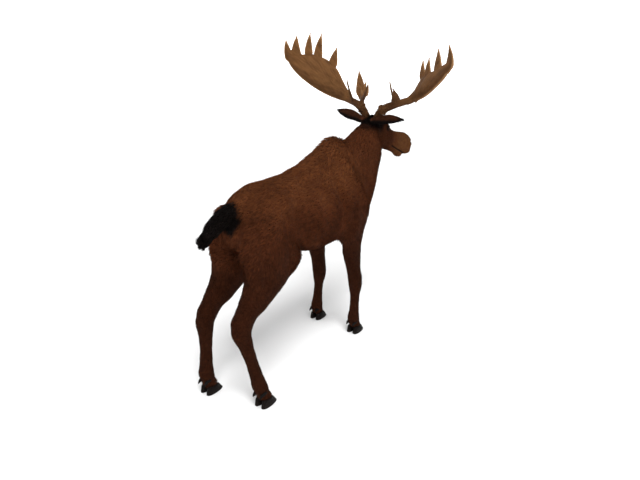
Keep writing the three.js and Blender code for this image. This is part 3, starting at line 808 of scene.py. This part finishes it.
hair = hair_finish("guard hair", 0.25)
normals = normals_of(points, triangles)
middles = points[triangles].mean(axis=1)
part, _, _ = part_of(middles)
left, ahead, face = middles[:, 1] > midline, middles[:, 0] > -0.42, in_head(middles)[0] > 0.10
trunk, neck, head = (part == name for name in ("trunk", "neck", "head"))
SHORT = 0.030               # shorter locks are sparser, as the skin's own bump stands in for them
# Each coat piece, where it grows and its number of locks.
COAT = (
    ("coat_back_left", trunk & ahead & left, 11500),
    ("coat_back_right", trunk & ahead & ~left, 11500),
    ("coat_rump_left", trunk & ~ahead & left, 10500),
    ("coat_rump_right", trunk & ~ahead & ~left, 10500),
    ("coat_neck_left", neck & left, 9000),
    ("coat_neck_right", neck & ~left, 9000),
    ("coat_crown", head & ~face, 5000),
    ("coat_face", head & face, 42000),
    ("coat_tail", part == "tail", 4000),
    ("coat_bell", part == "bell", 900),
    *((f"coat_{leg}", part == leg, 32000) for leg in LEGS),
)
for name, inside, count in COAT:
    length = hair_length(middles[inside])
    density = np.where(length < SHORT, 0.45, 1.0) / (length * lock_width(length)) * ~hairless(middles[inside])
    corners, shares = scattered(points, triangles[inside], density, count)
    root, normal = at(points, corners, shares), unit(at(normals, corners, shares))
    lie = lie_of(root, normal)
    length = hair_length(root) * rng.uniform(0.75, 1.25, count) * (1 + 0.18 * ripple(root, 0.09))
    lie = unit(lie + np.cross(normal, lie) * rng.normal(0, 0.10, count)[:, None])
    width = lock_width(length) * rng.uniform(0.8, 1.3, count)
    lift = np.minimum(hair_depth(root) * rng.uniform(0.45, 1.0, count), 0.45 * length)
    spread = np.where(length < SHORT, 0.42, 0.28)
    colour = coat_colours(root) * (1 + spread * rng.uniform(-1, 1, count))[:, None]
    _, along, around = part_of(root)
    place = filling(np.stack([around, along], axis=1))
    rings = (0.0,) if name == "coat_face" or name[5:] in LEGS else (0.0, 0.5)
    shape, shades, spots = lock_arrays(root, normal, lie, length, width, lift, colour, place, rings)
    show(name, shape, hair, "black" if name == "coat_tail" else "coat", shades, spots)

EAR_LOCKS = 5200
for label, side in SIDES:
    ear_points, ear_faces, *ear_shares = ears[label]
    off_root = (ear_shares[0][ear_faces].mean(axis=1) > 0.04) * 1.0
    corners, shares = scattered(ear_points, ear_faces, off_root, EAR_LOCKS)
    root = at(ear_points, corners, shares)
    normal = unit(at(normals_of(ear_points, ear_faces), corners, shares))
    turn = 0.15 * ripple(root, 0.05)[:, None]
    lie = on_skin(side * face_y + EAR_LIFT[label] * UP + np.cross(normal, side * face_y) * turn, normal)
    share, across, hollow = (at(values, corners, shares) for values in ear_shares)
    length = (0.020 + 0.016 * hollow) * rng.uniform(0.7, 1.3, EAR_LOCKS) * (1 - 0.35 * share)
    colour = ear_colours(share, across, hollow) * rng.uniform(0.72, 1.28, EAR_LOCKS)[:, None]
    across = np.where(hollow > 0.5, 3 + across * 0.5, across)
    place = filling(np.stack([share, across], axis=1))
    lift = rng.uniform(0.002, 0.006, EAR_LOCKS) + 0.006 * hollow
    width = 0.0022 + 0.08 * length
    shape, shades, spots = lock_arrays(root, normal, lie, length, width, lift, colour, place)
    show(f"coat_ear_{label}", shape, hair, "coat", shades, spots)

# ==== Eyes ==========================================================================================
# Large dark balls set in the sides of the head, wet, with a broad level pupil. A dark rim of bare
# skin follows the edge of the lids, and lashes stand out of the upper one.


EYE_WHITE = (0.006, 0.004, 0.003)
IRIS = (0.020, 0.0075, 0.0025)
PUPIL = (0.001, 0.001, 0.001)
RIM_HALF = 0.0019           # half the thickness of the rim's cord


def eye_finish():
    """Clear wet gloss over the colours painted on the ball."""
    made = Finish("wet eye")
    ball = made.node("Attribute", {"attribute_name": "Coat"}, output="Color")
    return made.surface(Base_Color=ball, Roughness=0.07, Specular_IOR_Level=0.08)


def lid_finish():
    """Bare blackish skin with fine creases, a little damp."""
    made = Finish("lid skin")
    place = made.node("TexCoord", output="Object")
    creases = made.noise(place, 900.0, 3.0)
    relief = made.bumped(creases, 0.4, 0.001)
    tint = made.scaled((0.010, 0.006, 0.004), creases + 0.5)
    return made.surface(Base_Color=tint, Roughness=0.45, Normal=relief, Specular_IOR_Level=0.10)


def eyeball(side, around=64, along=48):
    """A ball of rings from its front to its back, whose colour goes with the angle from the front:
    a level oval pupil, a dark brown iris and a blackish white."""
    middle, out, ahead, over = eye_frame(side)
    tilt, turn = np.meshgrid(np.linspace(0, np.pi, along), turns(around), indexing="ij")
    front, across, up = np.cos(tilt), np.sin(tilt) * np.cos(turn), np.sin(tilt) * np.sin(turn)
    ball = np.stack([front, across, up], axis=-1) @ np.stack([out, ahead, over])
    pupil = (front > 0) * (1 - rising(0.85, 1.05, np.hypot(across / 0.52, up / 0.30)))
    iris = 1 - rising(0.66, 0.76, np.hypot(across, up))
    fleck = 0.8 + 0.4 * np.sin(turn * 23 + 3 * np.sin(turn * 5))
    colours = tinted(plain(EYE_WHITE, turn.size), IRIS, (iris * fleck).ravel())
    return tube(middle + EYE_RADIUS * ball), tinted(colours, PUPIL, pupil.ravel())


def lid_rim(side, around=96, girth=10):
    """A round cord along both lid edges, a closed loop on the ball's surface. Gives it, its upper
    half's line and way out of the head, and the way up."""
    middle, out, ahead, over = eye_frame(side)
    turn = turns(around)
    along = OPENING["half_width"] * np.cos(turn)
    upper, lower = lid_edge(along)
    level = np.where(turn < np.pi, upper, lower)
    way = np.stack([np.cos(along) * np.cos(level), np.sin(along) * np.cos(level), np.sin(level)], axis=1)
    way = way @ np.stack([out, ahead, over])
    line = middle + (EYE_RADIUS + 0.0012) * way
    run = unit(np.roll(line, -1, axis=0) - np.roll(line, 1, axis=0))
    angle = turns(girth)[None, :, None]
    section = np.cos(angle) * way[:, None] + np.sin(angle) * np.cross(run, way)[:, None]
    points = (line[:, None] + RIM_HALF * section).reshape(-1, 3)
    ring, corner = (grid.ravel() for grid in np.mgrid[0:around, 0:girth])
    here, after = ring * girth, (ring + 1) % around * girth
    beside = (corner + 1) % girth
    faces = two_each(np.stack([here + corner, here + beside, after + beside, after + corner], axis=1))
    return facing_out(points, faces), line[turn < np.pi], way[turn < np.pi], over


wet, bare = eye_finish(), lid_finish()
for label, side in SIDES:
    shape, colours = eyeball(side)
    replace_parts(show(f"eyeball_{label}", shape, wet, "eye", colours), f"eye_{label}")
    shape, edge, way, over = lid_rim(side)
    show(f"lid_rim_{label}", shape, bare, "black")
    root, out = np.repeat(edge[4:-4], 2, axis=0), np.repeat(way[4:-4], 2, axis=0)
    count = len(root)
    lie = unit(out * 0.8 + over * 0.45 + rng.normal(0, 0.12, (count, 3)))
    normal = unit(over - lie * (lie @ over)[:, None])
    length = rng.uniform(0.012, 0.020, count)
    width, lift, colour = np.full(count, 0.0011), np.full(count, 0.004), plain(BLACK, count)
    place = filling(rng.random((count, 2)))
    shape, shades, spots = lock_arrays(root, normal, lie, length, width, lift, colour, place)
    show(f"lashes_{label}", shape, hair, "black", shades, spots)

# ==== Antlers =======================================================================================
# Dead bone: a beam out of a pearled burr, a cupped palm edged with tines, a brow stem with four more
# and a spike behind. Each antler is a cloud of balls along these with one surface wrapped round it.
# Blood vessels left the furrows that run out from the burr, and the tips are rubbed paler.

BONE = (0.128, 0.058, 0.021)
DARK_BONE = (0.040, 0.016, 0.006)
PALE_BONE = (0.260, 0.140, 0.062)
CELL = 0.0055               # edge of the lattice that the surface is found on
# Places are ahead of the poll, out from the middle of the skull, and up.
BEAM = (
    (0.015, 0.060), (0.012, 0.100), (0.016, 0.130), (0.030, 0.175), (0.067, 0.260), (0.098, 0.340),
    (0.095, 0.420), (0.062, 0.520),
)
BEAM_HALF = (0.036, 0.036, 0.038, 0.038, 0.036, 0.034, 0.028, 0.016)
STEM = (
    (0.020, 0.150, 0.050), (0.070, 0.180, 0.080), (0.160, 0.240, 0.100), (0.250, 0.310, 0.130),
    (0.320, 0.370, 0.190),
)
STEM_HALF = (0.030, 0.028, 0.024, 0.021, 0.013)
SNAG = ((0.050, 0.268, 0.080), (-0.070, 0.266, 0.318), 0.019)
# The palm stands on a curved wall: how far ahead it is at each distance out. Half its thickness.
WALL = (
    (0.30, 0.115), (0.37, 0.112), (0.48, 0.085), (0.612, 0.017), (0.728, -0.065), (0.852, -0.145),
    (0.968, -0.215), (1.12, -0.300),
)
PALM_HALF = (0.028, 0.021, 0.015, 0.013, 0.012, 0.011, 0.010)
# No two antlers match: five tines stand on the left palm, and four broad ones on the lower right.
# beam: heights. lower, upper: the palm's edges, out and up. tines: root, tip, half width and
# outward bend. brow: root, tip, half width.
ANTLERS = {
    "left": {
        "beam": (-0.050, 0.010, 0.040, 0.063, 0.084, 0.097, 0.115, 0.148),
        "lower": (
            (0.360, 0.100), (0.480, 0.116), (0.612, 0.160), (0.728, 0.235), (0.845, 0.333), (0.935, 0.440),
            (0.975, 0.540),
        ),
        "upper": (
            (0.372, 0.140), (0.440, 0.255), (0.515, 0.415), (0.605, 0.505), (0.720, 0.560), (0.850, 0.560),
            (0.950, 0.560),
        ),
        "tines": (
            ((0.930, 0.470), (0.990, 0.712), 0.056, 0.008), ((0.877, 0.500), (0.886, 0.748), 0.062, 0.008),
            ((0.772, 0.510), (0.766, 0.776), 0.052, 0.0), ((0.690, 0.490), (0.664, 0.770), 0.054, 0.004),
            ((0.565, 0.410), (0.524, 0.632), 0.056, -0.004),
        ),
        "brow": (
            ((0.130, 0.215, 0.085), (0.152, 0.165, 0.262), 0.040),
            ((0.280, 0.345, 0.100), (0.385, 0.468, 0.392), 0.062),
            ((0.270, 0.310, 0.120), (0.400, 0.345, 0.240), 0.045),
            ((0.300, 0.360, 0.140), (0.470, 0.430, 0.270), 0.034),
        ),
    },
    "right": {
        "beam": (-0.050, 0.010, 0.040, 0.066, 0.100, 0.128, 0.152, 0.188),
        "lower": (
            (0.360, 0.125), (0.480, 0.162), (0.612, 0.205), (0.728, 0.262), (0.855, 0.340), (0.950, 0.415),
            (0.990, 0.500),
        ),
        "upper": (
            (0.372, 0.160), (0.440, 0.220), (0.495, 0.300), (0.580, 0.390), (0.720, 0.420), (0.850, 0.465),
            (0.960, 0.515),
        ),
        "tines": (
            ((0.955, 0.420), (0.945, 0.650), 0.072, 0.026), ((0.805, 0.380), (0.788, 0.618), 0.078, 0.010),
            ((0.655, 0.340), (0.635, 0.540), 0.064, 0.0), ((0.570, 0.320), (0.540, 0.515), 0.060, 0.0),
        ),
        "brow": (
            ((0.128, 0.212, 0.085), (0.140, 0.165, 0.235), 0.052),
            ((0.280, 0.345, 0.110), (0.385, 0.450, 0.350), 0.055),
            ((0.270, 0.310, 0.120), (0.400, 0.345, 0.210), 0.045),
            ((0.300, 0.360, 0.130), (0.470, 0.430, 0.240), 0.034),
        ),
    },
}
SKULL = np.stack([np.cross(face_y, UP), face_y, UP])
BURR = 0.040                # from the beam's middle to the burr's ring of knobs
TINE_BOW = 0.012            # a palm's tine bows back by this, and its tip leans ahead by as much
ALONG_PALM = (0.5, -0.85, 0)
REACH = 2.5                 # cells from the surface past which the distance isn't worked out


def bone_finish():
    """Satin bone: painted tone, fine pores, and furrows that run out from the burr."""
    made = Finish("antler bone")
    place = made.node("TexCoord", output="Object")
    grain = made.node("Attribute", {"attribute_name": "Grain"}, output="Vector")
    tone = made.node("Attribute", {"attribute_name": "Coat"}, output="Color")
    streaks = made.noise(grain, 46.0, 4.0)
    shade = made.scaled(tone, streaks * 0.85 + made.noise(place, 14.0, 4.0) * 0.55 + 0.30)
    relief = made.bumped(streaks + made.noise(place, 520.0, 2.0) * 0.12, 0.6, 0.006)
    dull = 0.50 + 0.30 * streaks
    return made.surface(Base_Color=shade, Roughness=dull, Normal=relief, Specular_IOR_Level=0.05)


def flowing(rows, share):
    """The values of evenly spaced rows at each share of the way through them."""
    return between(np.column_stack([np.linspace(0, 1, len(rows)), np.array(rows, float)]), share)


def stood(rows):
    """Places given out and up, stood on the palm's wall."""
    out, up = np.array(rows, float).T
    return np.stack([np.interp(out, *np.array(WALL).T), out, up], axis=1)


def palm_balls(lower, upper, along=115, wide=70, bow=-0.022):
    """Balls between the palm's two edges, bowed back along its face by bow times
    sin(pi share) (1 - across^2), and larger towards the lower edge."""
    share, across = np.meshgrid(np.linspace(0, 1, along), np.linspace(-1, 1, wide), indexing="ij")
    low, high = flowing(stood(lower), share), flowing(stood(upper), share)
    middle = (low + high) / 2
    face = unit(np.cross(np.gradient(middle, axis=0), high - low))
    place = middle + across[..., None] * (high - low) / 2
    place = place + (bow * np.sin(np.pi * share) * (1 - across**2))[..., None] * face
    half = flowing(np.array(PALM_HALF)[:, None], share)[..., 0]
    return place.reshape(-1, 3), (half * (1 - 0.30 * across) * np.sqrt(1 - 0.35 * across**2)).ravel()


def limb_balls(line, half, along=100):
    """Balls along a round limb."""
    share = np.linspace(0, 1, along)
    return flowing(line, share), flowing(np.array(half)[:, None], share)[:, 0]


def tine_balls(root, tip, half, bend, wide, along=50, across=20):
    """Balls in a flattened tine. Its half width swells out of the root and then falls as
    (1 - share^1.7)^0.85 to a blunt tip; bend bows it sideways."""
    share, place = np.meshgrid(np.linspace(0, 1, along), np.linspace(-1, 1, across), indexing="ij")
    grown = rising(0, 0.3, share)
    width = half * (1 - share**1.7) ** 0.85 * (0.45 + 0.55 * grown)
    depth = 0.0150 * (1 - 0.50 * share) * np.sqrt(1 - 0.5 * place**2) * (0.40 + 0.60 * grown)
    run = np.array(tip) - root
    side = unit(wide - unit(run) * (wide @ unit(run)))
    middle = root + share[..., None] * run + (4 * share * (1 - share))[..., None] * bend
    return (middle + (place * np.maximum(width - depth, 0))[..., None] * side).reshape(-1, 3), depth.ravel()


def filled(balls, radii):
    """The distance in cells to the nearest ball's surface at each corner of a lattice, below 0
    inside, and the lattice's first corner. Small, middling and large balls are taken in turn."""
    low = balls.min(axis=0) - radii.max() - 4 * CELL
    size = np.ceil((balls.max(axis=0) + radii.max() + 4 * CELL - low) / CELL).astype(int) + 1
    field = np.full(size.prod(), REACH)
    centre, radius = (balls - low) / CELL, radii / CELL
    for least, most in ((0, 2.6), (2.6, 5), (5, 14)):
        chosen = (radius > least) & (radius <= most)
        far = int(np.ceil(most)) + 2
        steps = np.argwhere(np.ones([2 * far + 1] * 3)) - far
        for step in steps[np.linalg.norm(steps, axis=1) < most + 3]:
            corner = np.round(centre[chosen]).astype(int) + step
            gap = np.sqrt(((corner - centre[chosen]) ** 2).sum(axis=1)) - radius[chosen]
            near = gap < REACH
            np.minimum.at(field, np.ravel_multi_index(corner[near].T, size), gap[near])
    return np.maximum(field, -REACH).reshape(size), low


def wrapped(field, low):
    """The closed surface where the field crosses 0: one point in each lattice cube that it crosses,
    the mean of its crossings of the cube's edges, and a square across each crossed edge."""
    crossings, cubes = [], []
    for axis in range(3):
        first = np.argwhere(np.diff(np.signbit(field), axis=axis))
        one, b, c = (np.eye(3, dtype=int)[(axis + k) % 3] for k in range(3))
        value, after = field[tuple(first.T)], field[tuple((first + one).T)]
        crossings.append(first + (value / (value - after))[:, None] * one)
        around = [np.ravel_multi_index((first - off).T, field.shape) for off in (0 * b, b, b + c, c)]
        around = np.stack(around, axis=1)
        cubes.append(np.where((value < 0)[:, None], around, around[:, ::-1]))
    _, numbers = np.unique(np.vstack(cubes), return_inverse=True)
    squares, crossing = numbers.reshape(-1, 4), np.repeat(np.vstack(crossings), 4, axis=0)
    total = np.stack([np.bincount(squares.ravel(), crossing[:, k]) for k in range(3)], axis=1)
    return low + CELL * total / np.bincount(squares.ravel())[:, None], two_each(squares)


def antler_balls(beam, lower, upper, tines, brow):
    """All the balls of a left antler, in the skull's frame, their radii, and the burr's middle."""
    line = np.column_stack([BEAM, beam])
    burr = line[2]
    balls = [palm_balls(lower, upper), limb_balls(line, BEAM_HALF), limb_balls(STEM, STEM_HALF)]
    for root, tip, half, bend in tines:
        root, tip = stood([root, tip]) + np.array([[0, 0, 0], [TINE_BOW, 0, 0]])
        balls.append(tine_balls(root, tip, half, (-TINE_BOW, bend, 0), ALONG_PALM))
    for number, (root, tip, half) in enumerate(brow):
        wide = (0.6, -0.8 if number else 0.8, 0)    # the first is broad the other way
        balls.append(tine_balls(root, tip, half, (0.008, 0.004, 0), wide))
    balls.append(tine_balls(*SNAG, (-0.01, 0, 0), (0, 1, 0)))
    turn = turns(24)
    ways = np.array([unit(np.array([1.0, 0.1, 0.3])), unit(np.array([-0.25, -0.5, 0.85]))])
    ring = burr + BURR * np.stack([np.cos(turn), np.sin(turn)], axis=1) @ ways
    balls.append((ring, 0.011 + 0.003 * np.sin(turn * 7 + 1)))
    places, radii = zip(*balls)
    return np.vstack(places), np.concatenate(radii), burr


bone = bone_finish()
for label, side in SIDES:
    balls, radii, burr = antler_balls(**ANTLERS[label])
    points, faces = wrapped(*filled(balls, radii))
    points = relaxed(points, faces, 8)
    points, faces = halved(points, faces, np.linalg.norm(points - burr, axis=1) < 0.16)
    points = relaxed(points, faces, 2)
    # Relief goes with the distance and way from the burr: pearls near it and furrows further out,
    # which stop where tips and edges are worn, as they stand proud of a much smoothed surface.
    reach, way = np.linalg.norm(points - burr, axis=1), unit(points - burr)
    furrows = ripple(way * 0.5, 0.055) + 0.5 * ripple(way * 0.5, 0.028, 6)
    worn = np.linalg.norm(points - relaxed(points, faces, 30, back=0.0), axis=1)
    worn = worn * rising(0.16, 0.30, reach)
    blunt = 1 - rising(0.003, 0.009, worn)
    pearls = np.abs(ripple(points, 0.016)) + 0.6 * np.abs(ripple(points, 0.010, 6))
    pearls = pearls * (1 - rising(0.05, 0.17, reach))
    rise = 0.0016 * furrows * blunt * rising(0.05, 0.25, reach) + 0.0028 * pearls
    points = points + normals_of(points, faces) * rise[:, None]
    # Dark near the burr and in the furrows, painted shade along the palm's lower edge, and pale where it is
    # worn.
    tones = tinted(plain(BONE, len(points)), DARK_BONE, 0.95 * (1 - rising(0.06, 0.40, reach)))
    tones = tinted(tones, DARK_BONE, 0.30 * rising(0.1, 1.0, -furrows) * blunt)
    above = points[:, 2] - np.interp(points[:, 1], *np.array(ANTLERS[label]["lower"]).T)
    # Painted shade on the palm's underside, along its lower edge.
    painted_under_shade = rising(0.34, 0.50, points[:, 1]) * (1 - rising(0.0, 0.13, above))
    tones = tinted(tones, DARK_BONE, 0.55 * painted_under_shade)
    tones = tinted(tones, PALE_BONE, rising(0.002, 0.007, worn) * rising(0.25, 0.45, reach))
    tones = tinted(tones, BONE, 0.6 * rising(0.6, 1.4, pearls))
    shape = poll + points * (1, side, 1) @ SKULL, faces[:, ::side]
    antler = show(f"antler_{label}", shape, bone, "antler", tones)
    grain = antler.data.attributes.new("Grain", "FLOAT_VECTOR", "POINT")
    grain.data.foreach_set("vector", (way * 0.5 + 0.06 * reach[:, None]).astype(np.float32).ravel())
    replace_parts(antler, *(f"antler_{part}_{label}" for part in ("beam", "palm", "brow")))

# ==== Hooves and dewclaws ===========================================================================
# Black horn: each foot has two long pointed toes that are flat underneath and ringed by growth, and
# two small claws behind the fetlock that don't reach the floor.


def horn_finish():
    """Blackish horn with level growth rings, scuffed greyer towards the floor."""
    made = Finish("hoof horn")
    place = made.node("TexCoord", output="Object")
    level = made.node("SeparateXYZ", {}, {"Vector": place}, output="Z")
    stir = made.noise(place, 22.0, 2.0)
    rings = made.node("Math", {"operation": "SINE"}, {0: level * 900.0 + stir * 9.0})
    scuffs = made.noise(place, 160.0, 4.0)
    ends = {"From Min": 0.0, "From Max": 0.05, "To Min": 1.5, "To Max": 0.75}
    fade = made.node("MapRange", {}, {"Value": level, **ends})
    shade = made.scaled((0.0060, 0.0040, 0.0032), fade * (scuffs + 0.5))
    relief = made.bumped(rings * 0.4 + scuffs, 0.5, 0.0015)
    dull = 0.40 + 0.3 * scuffs
    return made.surface(Base_Color=shade, Roughness=dull, Normal=relief, Specular_IOR_Level=0.06)


# Each ring's share of the hoof's height, and its breadth as a share of the widest.
HOOF_ROWS = (
    (0.0, 0.0), (0.0, 0.55), (0.0, 0.93), (0.03, 1.0), (0.10, 1.0), (0.35, 0.955), (0.68, 0.89),
    (0.86, 0.83), (0.95, 0.74), (1.0, 0.60), (1.0, 0.0),
)


def hoof_shape(node, side, around=56):
    """Rings from the middle of the sole out, up the wall and in over the top. Each ring is an oval
    drawn out to a point at the toe, which leans back as the wall rises, and flatter on its inner side."""
    low, high = (np.array(corner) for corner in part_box(node))
    size = high - low
    level, spread = np.hsplit(np.array(HOOF_ROWS), 2)
    ahead, across = np.cos(turns(around)), np.sin(turns(around))
    toe = ahead > 0
    length = np.where(toe, 0.605 * size[0] * (1 - 0.30 * level), 0.385 * size[0])
    drawn = np.sign(ahead) * np.abs(ahead) ** np.where(toe, 1.0, 0.8)
    pointed = np.sign(across) * np.abs(across) ** np.where(toe, 1.25, 0.85)
    pointed = pointed * (1 - 0.18 * (across * side < 0))
    x = low[0] + 0.39 * size[0] + spread * length * drawn
    y = (low[1] + high[1]) / 2 + spread * 0.485 * size[1] * pointed
    return tube(np.stack([x, y, 0 * x + level * size[2]], axis=-1))


def claw_shape(node, around=20, along=12):
    """A short horn from the fetlock, back and down to a blunt point: ovals that shrink along it."""
    low, top = (np.array(corner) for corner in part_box(node))
    root = np.array([top[0] + 0.016, (low[1] + top[1]) / 2, top[2] - 0.010])
    tip = np.array([low[0] + 0.004, (low[1] + top[1]) / 2, low[2] + 0.006])
    run = unit(tip - root)
    over = unit(UP - run * run[2])
    share, angle = np.meshgrid(np.linspace(0, 1, along), turns(around), indexing="ij")
    girth = 0.019 * np.clip(1.01 - share**1.9, 0, 1) ** 0.7
    wide = girth * np.cos(angle)
    high = girth * 0.8 * np.sin(angle) + 0.006 * np.sin(np.pi * share)
    own_ways = np.stack([tip - root, np.cross(run, over), over])
    return tube(root + np.stack([share, wide, high], axis=-1) @ own_ways)


horn = horn_finish()
for leg in LEGS:
    for label, side in SIDES:
        hoof, claw = f"hoof_{leg}_{label}", f"dewclaw_{leg}_{label}"
        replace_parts(show(f"toe_{leg}_{label}", hoof_shape(hoof, side), horn, "hoof"), hoof)
        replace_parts(show(f"claw_{leg}_{label}", claw_shape(claw), horn, "hoof"), claw)

# ==== Floor, light and viewpoint ====================================================================
# A pale floor inside a white ring wall, one broad soft lamp above the animal's right hip and a dim
# sky, seen from behind the right hip and above the back.

ROOM = 30.0                 # radius of the floor
WALL_HIGH = 14.0
CORNERS = 96                # of the floor's rim

camera = put("camera", bpy.data.cameras.new("camera"))
camera.data.lens = 31.18
camera.location = (-4.094, -3.103, 2.873)
camera.rotation_euler = np.radians([70.83, 0.0, -52.63])
bpy.context.scene.camera = camera
bpy.context.scene.view_settings.view_transform = "Standard"


def stage_piece(name, points, faces, glow):
    """A piece of the pale studio, matt white, lit from within by glow."""
    made = Finish(name)
    material = made.surface(Base_Color=(0.9, 0.9, 0.9, 1), Roughness=1.0, Specular_IOR_Level=0.0,
                            Emission_Color=(1, 1, 1, 1), Emission_Strength=glow)
    mesh = bare_mesh(name, points, faces)
    mesh.materials.append(material)
    piece = put(name, mesh)
    return piece


turn = turns(CORNERS)
edge = ROOM * np.stack([np.cos(turn), np.sin(turn), 0 * turn], axis=1)
corner = np.arange(CORNERS)
after = (corner + 1) % CORNERS
wedges = np.stack([corner, after, 0 * corner + CORNERS], axis=1)
stage_piece("floor", np.vstack([edge, [[0, 0, 0]]]), wedges, 0.0)
squares = np.stack([corner, after, after + CORNERS, corner + CORNERS], axis=1)
wall = stage_piece("wall", np.vstack([edge, edge + UP * WALL_HIGH]), two_each(squares), 0.7)
wall.visible_shadow = False

surround = bpy.data.worlds.new("surround")
bpy.context.scene.world = surround
surround.use_nodes = True
sky = surround.node_tree.nodes["Background"].inputs
sky["Color"].default_value = (1, 1, 1, 1)
sky["Strength"].default_value = 0.42

lamp = put("lamp", bpy.data.lights.new("lamp", "SUN"))
lamp.data.energy = 2.6
lamp.data.angle = 0.5
lamp.rotation_euler = np.radians([32.0, 0.0, -40.0])
